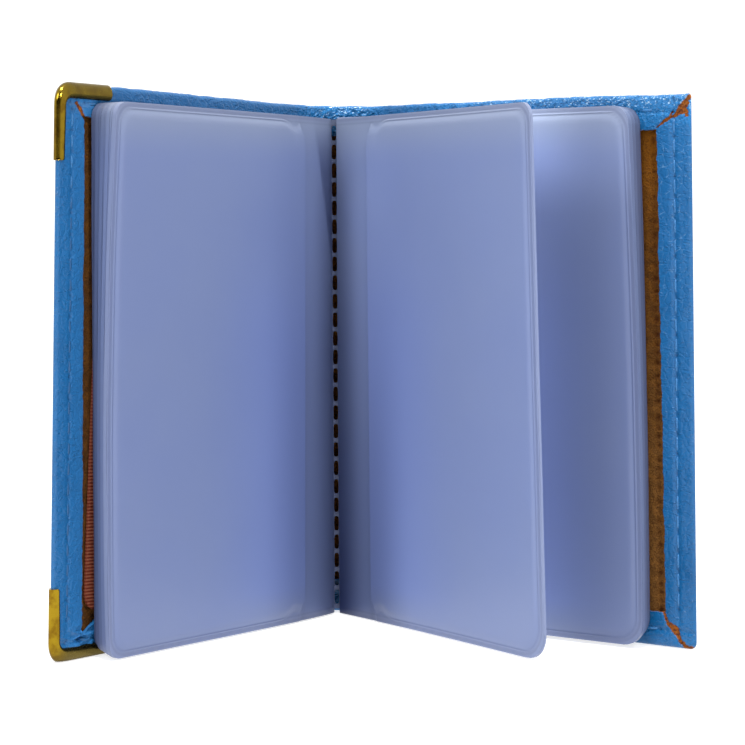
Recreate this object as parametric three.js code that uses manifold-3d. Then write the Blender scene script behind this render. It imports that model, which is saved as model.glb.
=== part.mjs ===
// Small leather document case standing open like a book, with clear pocket leaves on a slotted centre weld.
// Millimetres, +Z up. The spine stands at the back (+Y), and both covers swing forward towards -Y.
import * as THREE from 'three';
import { mergeVertices } from 'three/addons/utils/BufferGeometryUtils.js';
import Module from 'manifold-3d';

const wasm = await Module();
wasm.setup();

// Cover: sizes of the inner face, and how far each cover is swung forward out of the spine's plane
const CASE_HEIGHT = 110;
const SPINE_WIDTH = 10;
const SPINE_BEND_RADIUS = 4;
const SPINE_CENTRE = { x: -7.98, y: 31.2 };
const LEFT_COVER = { sign: -1, length: 80.6, bottomSwing: 52.6, topSwing: 54.1 };
const RIGHT_COVER = { sign: 1, length: 81.0, bottomSwing: 36.0, topSwing: 39.0 };

// Layers from the inner face outwards: hem, lining between two gaps, skin
const LAYER_GAP = 0.2;
const HEM_THICKNESS = 1.0;
const LINING_THICKNESS = 0.6;
const SKIN_THICKNESS = 1.0;
const LINING_FACE = HEM_THICKNESS + LAYER_GAP;
const LINING_BACK = LINING_FACE + LINING_THICKNESS;
const SKIN_FACE = LINING_BACK + LAYER_GAP;
const COVER_THICKNESS = SKIN_FACE + SKIN_THICKNESS;
const FOLD_THICKNESS = { fore: 2.6, end: 1.3 };
const LINING_MARGIN = { fore: 2.9, end: 1.6 };
const HEM_WIDTH = { left: 6.95, right: 7.15, top: 6.5, bottom: 6.8 };
const COVER_CORNER_RADIUS = { left: 4, right: 1.6 };

// The skin is pared down towards the fore edges: what is left at the edge, and how far in the paring starts
const PARED = { edge: 0.9, reach: 2.4 };
const PARED_SPREAD = Math.hypot(1, (COVER_THICKNESS - PARED.edge) / PARED.reach);

// Hem mitres: how far in from both edges each lens shaped split starts, and its widest opening. It runs to
// the inner corner of the hems.
const MITRES = [
  { side: LEFT_COVER, atTop: true, start: 2.6, opening: 0.7 },
  { side: LEFT_COVER, atTop: false, start: 2.6, opening: 0.7 },
  { side: RIGHT_COVER, atTop: true, start: 0.7, opening: 1.3 },
  { side: RIGHT_COVER, atTop: false, start: 0.7, opening: 1.1 },
];
const MITRE_WIDEST_AT = 0.45;
const MITRE_OVERRUN = 1.08;

// Brass corners: a folded channel round each corner of the left cover
const BRASS_WALL = 0.45;
const BRASS_LEG = 14.3;
const BRASS_BAND = { fore: 1.9, end: 2.6 };
const BRASS_INNER_RADIUS = 1.5;
const BRASS_END_RADIUS = 0.8;
const BRASS_PROUD = 0.25;
const BRASS_CUT_RADIUS = 0.1;

// How far a cutting shape reaches past what it cuts
const CUT_REACH = 2;

// Clear leaves: films standing on the slotted weld
const LEAF_BOTTOM = 0.8;
const LEAF_TOP = 107;
const LEAF_CORNER_RADIUS = 3;
const FILM_THICKNESS = 0.25;
const FILM_GAP = 0.3;
const POCKET_MOUTH = 9.5;
const WELD = { width: 2.4, thickness: 1.0, forward: 0.6, bottomAcross: -0.9, topAcross: -1.9 };
const WELD_BACK = SPINE_CENTRE.y - WELD.forward;
const SLOTS = { count: 26, pitch: 4.03, length: 2.95, width: 1.0, fromTop: 1.3 };

// Where each film leaves the weld, from the rear sheet to the front one: sideways from the middle of the
// weld, and forward of its back
const FILM_EXITS = [
  { across: 1.55, forward: 0.2 },
  { across: 1.6, forward: 0.8 },
  { across: 1.2, forward: 1.35 },
  { across: 0.9, forward: 1.9 },
  { across: 0.6, forward: 2.45 },
];

// Plan of the rearmost and frontmost leaf of each stack: control points given as distance along the cover
// from the spine corner and distance in from its inner face. The first point is on the weld.
const STACKS = [
  {
    name: 'left', side: LEFT_COVER, count: 5,
    rear: { bend: [0.9, 0.7], run: [12, 0.42], tip: [71.2, 0.45] },
    front: { bend: [6.6, 6.6], run: [40, 6.0], tip: [73.4, 6.4] },
  },
  {
    name: 'right', side: RIGHT_COVER, count: 4,
    rear: { bend: [0.2, 1.2], run: [12, 0.45], tip: [70.7, 0.45] },
    front: { bend: [5, 5.2], run: [36, 4.7], tip: [70.4, 4.7] },
  },
];
const RAISED_LEAF = { length: 70.4, bottomSwing: 55.0, topSwing: 57.8, bow: 1.2, order: 4 };

// Ribbed card behind the left leaves: its lower fore corner, along the cover and up
const CARD = {
  width: 54, height: 85.6, thickness: 0.6, radius: 3.2, tilt: 2.3, corner: [71.8, 9.1], depth: 0.2,
};

// Fineness of the facets
const BEND_STEPS = 3;
const COVER_STEPS = 4;
const HEIGHT_STEPS = 3;
const LEAF_STATIONS = [0, 0.02, 0.045, 0.075, 0.11, 0.16, 0.25, 0.42, 0.64, 0.84];
const LEAF_HEIGHT_STEPS = 3;
const CORNER_STEPS = 3;
const ARC_STEPS = 4;

const leather = new THREE.MeshStandardMaterial({ color: 0x3a7db9, roughness: 0.55, metalness: 0 });
const suede = new THREE.MeshStandardMaterial({ color: 0x6e4619, roughness: 0.95, metalness: 0 });
const brass = new THREE.MeshStandardMaterial({ color: 0xb99632, roughness: 0.3, metalness: 1 });
const film = new THREE.MeshStandardMaterial({ color: 0x8c9bc3, roughness: 0.35, metalness: 0 });
const redCard = new THREE.MeshStandardMaterial({ color: 0x963c1e, roughness: 0.7, metalness: 0 });

const caseGroup = new THREE.Group();

function addPiece(name, geometry, material) {
  geometry.computeVertexNormals();
  const mesh = new THREE.Mesh(geometry, material);
  mesh.name = name;
  caseGroup.add(mesh);
}

// Swing of a cover at a height, in radians: the soft covers lean out a little towards the bottom
function swingAt(cover, z) {
  const degrees = THREE.MathUtils.lerp(cover.bottomSwing, cover.topSwing, z / CASE_HEIGHT);
  return THREE.MathUtils.degToRad(degrees);
}

// Developed distances from the middle of the spine for one cover: end of the flat spine, end of the bend,
// and the fore edge
function development(cover, z = CASE_HEIGHT / 2) {
  const swing = swingAt(cover, z);
  const tangent = SPINE_BEND_RADIUS * Math.tan(swing / 2);
  const flat = SPINE_WIDTH / 2 - tangent;
  const bend = flat + SPINE_BEND_RADIUS * swing;
  return { swing, flat, bend, tangent, edge: bend + cover.length - tangent };
}

// Point of the folded cover: run is the developed distance from the middle of the spine, negative on the
// left, and outward the depth behind the inner face
function foldedPoint(run, outward, z) {
  const cover = run < 0 ? LEFT_COVER : RIGHT_COVER;
  const { swing, flat, bend } = development(cover, z);
  const distance = Math.abs(run);
  const turned = THREE.MathUtils.clamp((distance - flat) / SPINE_BEND_RADIUS, 0, swing);
  const straight = Math.max(distance - bend, 0);
  const radius = SPINE_BEND_RADIUS + outward;
  const across = Math.min(distance, flat) + radius * Math.sin(turned) + straight * Math.cos(swing);
  const back = radius * Math.cos(turned) - SPINE_BEND_RADIUS - straight * Math.sin(swing);
  return new THREE.Vector3(SPINE_CENTRE.x + cover.sign * across, SPINE_CENTRE.y + back, z);
}

// Developed position of a point measured along a cover from its spine corner
function runAlong(cover, along) {
  const { bend, tangent } = development(cover);
  return cover.sign * (bend + along - tangent);
}

// Indexed geometry with its faces turned outwards
function closedGeometry(points, triangles) {
  const volume = triangles.reduce((sum, [a, b, c]) => {
    const cross = new THREE.Vector3().crossVectors(points[b], points[c]);
    return sum + points[a].dot(cross);
  }, 0);
  const outward = volume < 0 ? triangles.map(([a, b, c]) => [a, c, b]) : triangles;
  const geometry = new THREE.BufferGeometry().setFromPoints(points);
  geometry.setIndex(outward.flat());
  return geometry;
}

// Closed wall over a grid of stations and heights. place(station, side, height) gives a point, with side 0
// for one face and 1 for the other, and height running from 0 to 1.
function wall(stations, heights, place) {
  const columns = stations.length;
  const rows = heights.length;
  const points = [0, 1].flatMap((side) =>
    stations.flatMap((station) => heights.map((height) => place(station, side, height))));
  const at = (side, column, row) => (side * columns + column) * rows + row;
  const triangles = [];
  const quad = (a, b, c, d) => triangles.push([a, b, c], [a, c, d]);
  for (let i = 0; i < columns - 1; i += 1) {
    for (let j = 0; j < rows - 1; j += 1) {
      quad(at(0, i, j), at(0, i + 1, j), at(0, i + 1, j + 1), at(0, i, j + 1));
      quad(at(1, i, j), at(1, i, j + 1), at(1, i + 1, j + 1), at(1, i + 1, j));
    }
    quad(at(0, i, 0), at(1, i, 0), at(1, i + 1, 0), at(0, i + 1, 0));
    quad(at(0, i, rows - 1), at(0, i + 1, rows - 1), at(1, i + 1, rows - 1), at(1, i, rows - 1));
  }
  for (let j = 0; j < rows - 1; j += 1) {
    quad(at(0, 0, j), at(0, 0, j + 1), at(1, 0, j + 1), at(1, 0, j));
    quad(at(0, columns - 1, j), at(1, columns - 1, j), at(1, columns - 1, j + 1), at(0, columns - 1, j + 1));
  }
  return closedGeometry(points, triangles);
}

function steps(count) {
  return Array.from({ length: count + 1 }, (_, index) => index / count);
}

// How far a rounded corner pulls the end of a sheet in, at a distance from its edge
function cornerInset(distance, radius) {
  const reach = Math.max(radius - distance, 0);
  return radius - Math.sqrt(radius * radius - reach * reach);
}

// Distances from an edge that follow a rounded corner
function cornerDistances(radius) {
  return steps(CORNER_STEPS).map((step) => radius * (1 - Math.cos(step * Math.PI / 2)));
}

// Sheet folded with the cover, between two depths, set in from the fore edges, the bottom and the top
function foldedSheet({ left, right, bottom, top, near, far, leftRadius = 0, rightRadius = 0 }) {
  const ends = [
    { cover: LEFT_COVER, margin: left, radius: leftRadius },
    { cover: RIGHT_COVER, margin: right, radius: rightRadius },
  ];
  const runs = ends.flatMap(({ cover, margin, radius }) => {
    const { flat, bend, edge } = development(cover);
    const tip = edge - margin;
    const curved = steps(BEND_STEPS).map((step) => THREE.MathUtils.lerp(flat, bend, step));
    const straight = steps(COVER_STEPS).slice(1, -1).map((step) => THREE.MathUtils.lerp(bend, edge, step));
    const corner = radius > 0 ? cornerDistances(radius).map((distance) => tip - distance) : [tip];
    return [...curved, ...straight, ...corner].map((run) => cover.sign * run);
  });
  runs.sort((a, b) => a - b);
  const inset = (run) => {
    const { cover, margin, radius } = run < 0 ? ends[0] : ends[1];
    return radius > 0 ? cornerInset(development(cover).edge - margin - Math.abs(run), radius) : 0;
  };
  return wall(runs, steps(HEIGHT_STEPS), (run, side, height) => {
    const low = bottom + inset(run);
    const high = CASE_HEIGHT - top - inset(run);
    return foldedPoint(run, side === 0 ? near : far, THREE.MathUtils.lerp(low, high, height));
  });
}

// Flat outline on a cover, given in distances from its fore edge and from its top or bottom, extruded
// through a range of depths
function coverBlock(cover, atTop, outline, near, far) {
  const geometry = new THREE.ExtrudeGeometry(outline, {
    depth: far - near, bevelEnabled: false, steps: 1, curveSegments: ARC_STEPS,
  });
  geometry.deleteAttribute('normal');
  geometry.deleteAttribute('uv');
  const merged = mergeVertices(geometry, 1e-4);
  const position = merged.getAttribute('position');
  const points = Array.from({ length: position.count }, (_, index) => {
    const fromEdge = position.getX(index);
    const fromEnd = position.getY(index);
    const z = atTop ? CASE_HEIGHT - fromEnd : fromEnd;
    return foldedPoint(runAlong(cover, cover.length - fromEdge), near + position.getZ(index), z);
  });
  const order = Array.from(merged.getIndex().array);
  const triangles = order.flatMap((_, index) => (index % 3 ? [] : [order.slice(index, index + 3)]));
  return closedGeometry(points, triangles);
}

function toSolid(geometry) {
  const bare = new THREE.BufferGeometry();
  bare.setAttribute('position', geometry.getAttribute('position'));
  bare.setIndex(geometry.getIndex());
  const merged = mergeVertices(bare, 1e-4);
  return new wasm.Manifold(new wasm.Mesh({
    numProp: 3,
    vertProperties: new Float32Array(merged.getAttribute('position').array),
    triVerts: new Uint32Array(merged.getIndex().array),
  }));
}

function toGeometry(solid) {
  const mesh = solid.getMesh();
  const geometry = new THREE.BufferGeometry();
  geometry.setAttribute('position', new THREE.BufferAttribute(new Float32Array(mesh.vertProperties), 3));
  geometry.setIndex(new THREE.BufferAttribute(new Uint32Array(mesh.triVerts), 1));
  return geometry;
}

// Wedge behind the pared skin of a cover, on a slope shifted outwards by a depth
function pareWedge(cover, shift) {
  const slope = (COVER_THICKNESS - PARED.edge) / PARED.reach;
  const { edge } = development(cover);
  const reach = PARED.reach + (BRASS_PROUD - shift) / slope;
  const ends = [-CUT_REACH, reach + CUT_REACH];
  return toSolid(wall(ends, steps(HEIGHT_STEPS), (fromEdge, side, height) => {
    const near = PARED.edge + shift + slope * fromEdge;
    const z = THREE.MathUtils.lerp(-CUT_REACH, CASE_HEIGHT + CUT_REACH, height);
    return foldedPoint(cover.sign * (edge - fromEdge), side === 0 ? near : near + COVER_THICKNESS, z);
  }));
}

// L shaped band round a corner: from an inset edge to the inner sides of its two legs
function cornerBand(inset, band, leg, endRadius) {
  const outerRadius = Math.max(COVER_CORNER_RADIUS.left - inset, 0.5);
  const shape = new THREE.Shape();
  shape.moveTo(inset + outerRadius, inset);
  shape.lineTo(leg - endRadius, inset);
  shape.absarc(leg - endRadius, inset + endRadius, endRadius, -Math.PI / 2, 0, false);
  shape.lineTo(leg, band.end - endRadius);
  shape.absarc(leg - endRadius, band.end - endRadius, endRadius, 0, Math.PI / 2, false);
  shape.lineTo(band.fore + BRASS_INNER_RADIUS, band.end);
  shape.absarc(band.fore + BRASS_INNER_RADIUS, band.end + BRASS_INNER_RADIUS, BRASS_INNER_RADIUS,
    -Math.PI / 2, -Math.PI, true);
  shape.lineTo(band.fore, leg - endRadius);
  shape.absarc(band.fore - endRadius, leg - endRadius, endRadius, 0, Math.PI / 2, false);
  shape.lineTo(inset + endRadius, leg);
  shape.absarc(inset + endRadius, leg - endRadius, endRadius, Math.PI / 2, Math.PI, false);
  shape.lineTo(inset, inset + outerRadius);
  shape.absarc(inset + outerRadius, inset + outerRadius, outerRadius, Math.PI, Math.PI * 1.5, false);
  return shape;
}

function widerBand(extra) {
  return { fore: BRASS_BAND.fore + extra, end: BRASS_BAND.end + extra };
}

function brassCorner(atTop) {
  const body = coverBlock(LEFT_COVER, atTop, cornerBand(0, BRASS_BAND, BRASS_LEG, BRASS_END_RADIUS),
    -BRASS_PROUD, COVER_THICKNESS + BRASS_PROUD);
  const channel = coverBlock(LEFT_COVER, atTop,
    cornerBand(BRASS_WALL, widerBand(CUT_REACH), BRASS_LEG + CUT_REACH, BRASS_CUT_RADIUS),
    BRASS_WALL - BRASS_PROUD, COVER_THICKNESS + BRASS_PROUD - BRASS_WALL);
  const hollow = toSolid(channel).subtract(pareWedge(LEFT_COVER, BRASS_PROUD - BRASS_WALL * PARED_SPREAD));
  return toSolid(body).subtract(pareWedge(LEFT_COVER, BRASS_PROUD)).subtract(hollow);
}

// Leather pressed back under a brass corner, with the gap all round
function brassSeat(atTop) {
  const sunk = BRASS_WALL - BRASS_PROUD + LAYER_GAP;
  const outside = coverBlock(LEFT_COVER, atTop,
    cornerBand(-CUT_REACH, widerBand(LAYER_GAP), BRASS_LEG + LAYER_GAP, BRASS_END_RADIUS),
    -CUT_REACH, COVER_THICKNESS + CUT_REACH);
  const core = coverBlock(LEFT_COVER, atTop,
    cornerBand(BRASS_WALL + LAYER_GAP, widerBand(CUT_REACH), BRASS_LEG + CUT_REACH, BRASS_CUT_RADIUS),
    sunk, COVER_THICKNESS - sunk);
  const pressed = BRASS_PROUD - (BRASS_WALL + LAYER_GAP) * PARED_SPREAD;
  return toSolid(outside).subtract(toSolid(core).subtract(pareWedge(LEFT_COVER, pressed)));
}

// Lens shaped split in the hem, from near the corner to the inner corner of the hem
function mitreSplit({ side, atTop, start, opening }) {
  const from = new THREE.Vector2(start, start);
  const to = new THREE.Vector2(
    side === LEFT_COVER ? HEM_WIDTH.left : HEM_WIDTH.right,
    atTop ? HEM_WIDTH.top : HEM_WIDTH.bottom);
  const across = to.clone().sub(from).normalize().rotateAround(new THREE.Vector2(), Math.PI / 2);
  const middle = from.clone().lerp(to, MITRE_WIDEST_AT);
  const past = from.clone().lerp(to, MITRE_OVERRUN);
  const outline = new THREE.Shape([
    from,
    middle.clone().addScaledVector(across, opening / 2),
    past.clone().addScaledVector(across, opening / 4),
    past.clone().addScaledVector(across, -opening / 4),
    middle.clone().addScaledVector(across, -opening / 2),
  ]);
  return toSolid(coverBlock(side, atTop, outline, -CUT_REACH, HEM_THICKNESS + LAYER_GAP / 2));
}

function cover() {
  const leaf = toSolid(foldedSheet({
    left: 0, right: 0, bottom: 0, top: 0, near: 0, far: COVER_THICKNESS,
    leftRadius: COVER_CORNER_RADIUS.left, rightRadius: COVER_CORNER_RADIUS.right,
  }));
  const pocket = toSolid(foldedSheet({
    left: FOLD_THICKNESS.fore, right: FOLD_THICKNESS.fore,
    bottom: FOLD_THICKNESS.end, top: FOLD_THICKNESS.end,
    near: HEM_THICKNESS, far: SKIN_FACE, leftRadius: COVER_CORNER_RADIUS.left,
  }));
  const window = toSolid(foldedSheet({ ...HEM_WIDTH, near: -CUT_REACH, far: HEM_THICKNESS + LAYER_GAP / 2 }));
  const pared = [pareWedge(LEFT_COVER, 0), pareWedge(RIGHT_COVER, 0)];
  const cuts = [pocket, window, ...pared, brassSeat(true), brassSeat(false), ...MITRES.map(mitreSplit)];
  return cuts.reduce((solid, cut) => solid.subtract(cut), leaf);
}

function lining() {
  return foldedSheet({
    left: LINING_MARGIN.fore, right: LINING_MARGIN.fore, bottom: LINING_MARGIN.end, top: LINING_MARGIN.end,
    near: LINING_FACE, far: LINING_BACK, leftRadius: COVER_CORNER_RADIUS.left,
  });
}

// Plan point beside a cover: along it from the spine corner, and in from its inner face
function besideCover(coverSide, [along, inward], z) {
  const swing = swingAt(coverSide, z);
  const across = SPINE_WIDTH / 2 + along * Math.cos(swing) - inward * Math.sin(swing);
  const forward = along * Math.sin(swing) + inward * Math.cos(swing);
  return new THREE.Vector2(SPINE_CENTRE.x + coverSide.sign * across, SPINE_CENTRE.y - forward);
}

function weldX(z) {
  return SPINE_CENTRE.x + THREE.MathUtils.lerp(WELD.bottomAcross, WELD.topAcross, z / CASE_HEIGHT);
}

// Where the film of a given order, counted from the rear, leaves the weld
function weldExit(coverSide, order, z) {
  const { across, forward } = FILM_EXITS[order];
  return new THREE.Vector2(weldX(z) + coverSide.sign * across, WELD_BACK - forward);
}

// Ruled leaf surface between a plan curve at the bottom and one at the top. The returned function gives a
// point from a distance fraction, a depth on the reader's side, and a height.
function leafSurface(coverSide, planAt) {
  const bottom = planAt(0);
  const top = planAt(CASE_HEIGHT);
  const place = (fraction, depth, z) => {
    const rise = z / CASE_HEIGHT;
    const point = bottom.getPointAt(fraction).lerp(top.getPointAt(fraction), rise);
    const along = bottom.getTangentAt(fraction).lerp(top.getTangentAt(fraction), rise).normalize();
    const inward = new THREE.Vector2(along.y, -along.x).multiplyScalar(coverSide.sign);
    const plan = point.addScaledVector(inward, depth);
    return new THREE.Vector3(plan.x, plan.y, z);
  };
  return { place, length: (bottom.getLength() + top.getLength()) / 2 };
}

// Film on a leaf surface from a start distance to the fore edge, with rounded fore corners
function leafFilm({ place, length }, start, depth) {
  const first = start / length;
  const run = LEAF_STATIONS.filter((station) => station > first + 0.01);
  const corner = cornerDistances(LEAF_CORNER_RADIUS).map((distance) => 1 - distance / length);
  const stations = [first, ...run, ...corner.reverse()];
  return wall(stations, steps(LEAF_HEIGHT_STEPS), (fraction, side, height) => {
    const inset = cornerInset((1 - fraction) * length, LEAF_CORNER_RADIUS);
    const z = THREE.MathUtils.lerp(LEAF_BOTTOM + inset, LEAF_TOP - inset, height);
    return place(fraction, depth + side * FILM_THICKNESS, z);
  });
}

function addLeaf(name, surface) {
  addPiece(`leaf_${name}`, leafFilm(surface, 0, 0), film);
  addPiece(`pocket_${name}`, leafFilm(surface, POCKET_MOUTH, FILM_THICKNESS + FILM_GAP), film);
}

function addStack({ name, side, count, rear, front }) {
  for (let order = 0; order < count; order += 1) {
    const share = order / (count - 1);
    const blended = (key, z) => besideCover(side, rear[key], z).lerp(besideCover(side, front[key], z), share);
    const surface = leafSurface(side, (z) => new THREE.CubicBezierCurve(
      weldExit(side, order, z), blended('bend', z), blended('run', z), blended('tip', z)));
    addLeaf(`${name}_${order + 1}`, surface);
  }
}

// The raised leaf stands off the right stack in a shallow bow
function addRaisedLeaf() {
  const surface = leafSurface(RIGHT_COVER, (z) => {
    const root = weldExit(RIGHT_COVER, RAISED_LEAF.order, z);
    const degrees = THREE.MathUtils.lerp(RAISED_LEAF.bottomSwing, RAISED_LEAF.topSwing, z / CASE_HEIGHT);
    const swing = THREE.MathUtils.degToRad(degrees);
    const along = new THREE.Vector2(Math.cos(swing), -Math.sin(swing));
    const outward = new THREE.Vector2(Math.sin(swing), Math.cos(swing));
    const at = (share, push) => root.clone()
      .addScaledVector(along, share * RAISED_LEAF.length)
      .addScaledVector(outward, push);
    const { bow } = RAISED_LEAF;
    return new THREE.CubicBezierCurve(root, at(0.3, bow), at(0.65, bow / 2), at(1, 0));
  });
  addLeaf('raised', surface);
}

// Slotted strip where all the sheets are welded together, leaning with the leaves
function weldStrip() {
  const half = WELD.width / 2;
  const outline = new THREE.Shape([
    new THREE.Vector2(-half, LEAF_BOTTOM),
    new THREE.Vector2(half, LEAF_BOTTOM),
    new THREE.Vector2(half, LEAF_TOP),
    new THREE.Vector2(-half, LEAF_TOP),
  ]);
  for (let index = 0; index < SLOTS.count; index += 1) {
    const high = LEAF_TOP - SLOTS.fromTop - index * SLOTS.pitch;
    const low = high - SLOTS.length;
    outline.holes.push(new THREE.Path([
      new THREE.Vector2(-SLOTS.width / 2, low),
      new THREE.Vector2(-SLOTS.width / 2, high),
      new THREE.Vector2(SLOTS.width / 2, high),
      new THREE.Vector2(SLOTS.width / 2, low),
    ]));
  }
  const geometry = new THREE.ExtrudeGeometry(outline, {
    depth: WELD.thickness, bevelEnabled: false, steps: 1,
  });
  geometry.deleteAttribute('normal');
  geometry.deleteAttribute('uv');
  const merged = mergeVertices(geometry, 1e-4);
  const position = merged.getAttribute('position');
  for (let index = 0; index < position.count; index += 1) {
    const z = position.getY(index);
    const across = weldX(z) + position.getX(index);
    position.setXYZ(index, across, WELD_BACK - position.getZ(index), z);
  }
  return merged;
}

function ribbedCard() {
  const tilt = THREE.MathUtils.degToRad(CARD.tilt);
  const rounded = cornerDistances(CARD.radius);
  const rearward = rounded.map((distance) => CARD.width - distance).reverse();
  const fromFore = [...rounded, CARD.width / 2, ...rearward];
  return wall(fromFore, steps(1), (distance, side, height) => {
    const inset = cornerInset(Math.min(distance, CARD.width - distance), CARD.radius);
    const up = THREE.MathUtils.lerp(inset, CARD.height - inset, height);
    const along = CARD.corner[0] - distance * Math.cos(tilt) - up * Math.sin(tilt);
    const z = CARD.corner[1] - distance * Math.sin(tilt) + up * Math.cos(tilt);
    return foldedPoint(runAlong(LEFT_COVER, along), CARD.depth + side * CARD.thickness, z);
  });
}

addPiece('cover', toGeometry(cover()), leather);
addPiece('lining', lining(), suede);
addPiece('corner_top', toGeometry(brassCorner(true)), brass);
addPiece('corner_bottom', toGeometry(brassCorner(false)), brass);
addPiece('weld_strip', weldStrip(), film);
STACKS.forEach(addStack);
addRaisedLeaf();
addPiece('ribbed_card', ribbedCard(), redCard);

export default caseGroup;
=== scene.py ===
"""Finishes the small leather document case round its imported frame.

The case stands open like a book: a blue leather cover with turned and stitched hems, a brown suede
lining, two brass corners, clear pocket leaves on a slotted weld, and one ribbed red card. Sizes in the
classes are millimetres in the frame of the solids, and the meshes are in metres.
"""

import logging
import math
from dataclasses import dataclass, field
from enum import Enum
from typing import Any

import bmesh
import bpy
import numpy as np
from mathutils import Matrix, Vector

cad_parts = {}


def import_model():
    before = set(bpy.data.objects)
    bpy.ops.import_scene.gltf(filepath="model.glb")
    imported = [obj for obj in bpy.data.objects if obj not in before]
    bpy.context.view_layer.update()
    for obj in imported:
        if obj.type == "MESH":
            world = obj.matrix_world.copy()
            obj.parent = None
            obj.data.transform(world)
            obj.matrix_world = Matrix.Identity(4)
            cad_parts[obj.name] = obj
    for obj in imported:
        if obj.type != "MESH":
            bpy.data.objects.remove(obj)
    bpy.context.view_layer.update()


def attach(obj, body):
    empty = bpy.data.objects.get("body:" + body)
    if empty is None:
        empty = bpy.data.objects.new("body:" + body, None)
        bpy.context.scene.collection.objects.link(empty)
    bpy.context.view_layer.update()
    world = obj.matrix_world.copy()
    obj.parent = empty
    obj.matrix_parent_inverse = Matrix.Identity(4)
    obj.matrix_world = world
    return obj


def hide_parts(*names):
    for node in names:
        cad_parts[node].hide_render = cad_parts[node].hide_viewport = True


Array = np.ndarray
Triple = tuple[float, float, float]
Colour = Triple
Route = tuple[tuple[float, float], ...]
Wave = tuple[float, float, int]
LOG = logging.getLogger("document_case")
MM = 0.001
WAVES = 12
WAVE_STRETCH = (0.7, 1.5)
FINE = 4000
CURVE_STEPS = 400


class Side(Enum):
    """The two covers, valued by the sign of X they swing towards."""

    LEFT = -1
    RIGHT = 1


class Edge(Enum):
    """The four edges of the cover, in the order that a walk round its inner face meets them."""

    BOTTOM = 0
    RIGHT = 1
    TOP = 2
    LEFT = 3

    @property
    def upright(self) -> bool:
        """Whether the edge is one of the two fore edges."""
        return self in (Edge.RIGHT, Edge.LEFT)


class Corner(Enum):
    """The four corners of the cover, each met just before the edge of the same number."""

    BOTTOM_LEFT = 0
    BOTTOM_RIGHT = 1
    TOP_RIGHT = 2
    TOP_LEFT = 3


class Slot(Enum):
    """Material slots of the record."""

    LEATHER = "blue_leather"
    SUEDE = "brown_suede"
    BRASS = "brass"
    FILM = "clear_film"
    CARD = "red_card"


def lerp(low: Any, high: Any, share: Any) -> Any:
    """Straight blend from low at share 0 to high at share 1."""
    return low + (high - low) * share


def ease(start: float, end: float, value: Any) -> Any:
    """Smooth step from 0 at start to 1 at end: three t squared less two t cubed."""
    share = np.clip((value - start) / (end - start), 0.0, 1.0)
    return share * share * (3.0 - 2.0 * share)


def hump(value: Any, centre: Any, width: float) -> Any:
    """Bell curve of height 1 about a centre: e to the minus square of the distance over the width."""
    return np.exp(-(((value - centre) / width) ** 2))


def ripple(first: Array, second: Array, length: float, seed: int) -> Array:
    """Soft random waves over two coordinates.

    Sines are added, each along its own seeded direction, with a wavelength near the given length and a
    seeded start. A third of their number divides the sum.

    Args:
        first: First coordinate of each point.
        second: Second coordinate of each point.
        length: Typical wavelength.
        seed: Seed of the directions and starts.

    Returns:
        Values mostly between -1 and 1.
    """
    draw = np.random.default_rng(seed)
    turn = draw.uniform(0.0, math.tau, WAVES)
    size = math.tau / (length * draw.uniform(*WAVE_STRETCH, WAVES))
    start = draw.uniform(0.0, math.tau, WAVES)
    spread = first[..., None] * np.cos(turn) * size + np.asarray(second)[..., None] * np.sin(turn) * size
    return np.sin(spread + start).sum(-1) / (WAVES / 3.0)


def ripples(first: Array, second: Array, waves: tuple[Wave, ...], shift: int = 0) -> Array:
    """Sum of soft random waves.

    Args:
        first: First coordinate of each point.
        second: Second coordinate of each point.
        waves: Height, wavelength and seed of each.
        shift: Number added to the seeds.

    Returns:
        The sum of the waves, each times its height.
    """
    return sum(height * ripple(first, second, length, seed + shift) for height, length, seed in waves)


def crowded(length: float, count: int, spots: list[tuple[float, float]], finest: float) -> Array:
    """Stations from 0 to length that crowd together near chosen spots.

    The wanted spacing grows smoothly from the finest at a spot to 1 past its reach. Its inverse, added up
    along the length, is cut into equal parts.

    Args:
        length: Length to cover.
        count: Number of steps.
        spots: Pairs of place and reach.
        finest: Spacing at a spot, against 1 elsewhere.

    Returns:
        The count + 1 places.
    """
    places = np.linspace(0.0, length, FINE)
    spacing = np.ones_like(places)
    for spot, reach in spots:
        spacing = np.minimum(spacing, finest + (1.0 - finest) * ease(0.0, reach, np.abs(places - spot)))
    total = np.concatenate([[0.0], np.cumsum((1.0 / spacing)[1:] * np.diff(places))])
    return np.interp(np.linspace(0.0, total[-1], count + 1), total, places)


def spanned(bottom: Array, right: Array, top: Array, left: Array) -> Array:
    """Patch spanned between four boundary curves.

    The blend of the bottom and top curves is added to the blend of the left and right ones, less the
    bilinear patch of the four corners.

    Args:
        bottom: Points from the lower left to the lower right corner.
        right: Points from the lower right to the upper right corner.
        top: Points from the upper left to the upper right corner.
        left: Points from the lower left to the upper left corner.

    Returns:
        Grid of points, rows rising from the bottom curve.
    """
    across = np.linspace(0.0, 1.0, len(bottom))[None, :, None]
    up = np.linspace(0.0, 1.0, len(left))[:, None, None]
    ruled = lerp(bottom[None], top[None], up) + lerp(left[:, None], right[:, None], across)
    corners = lerp(lerp(bottom[0], bottom[-1], across), lerp(top[0], top[-1], across), up)
    return ruled - corners


def drawn_in(radius: float, distance: Array) -> Array:
    """How far a rounded corner draws an end in, at distances from its side.

    What the distance lacks to the radius is one leg of a right triangle whose long side is the radius.
    The other leg is taken from the radius.

    Args:
        radius: Radius of the corner.
        distance: Distances from the side.

    Returns:
        The inset of the end, the radius at the side and 0 past the corner.
    """
    lacking = np.maximum(radius - distance, 0.0)
    return radius - np.sqrt(np.maximum(radius ** 2 - lacking ** 2, 0.0))


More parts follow.
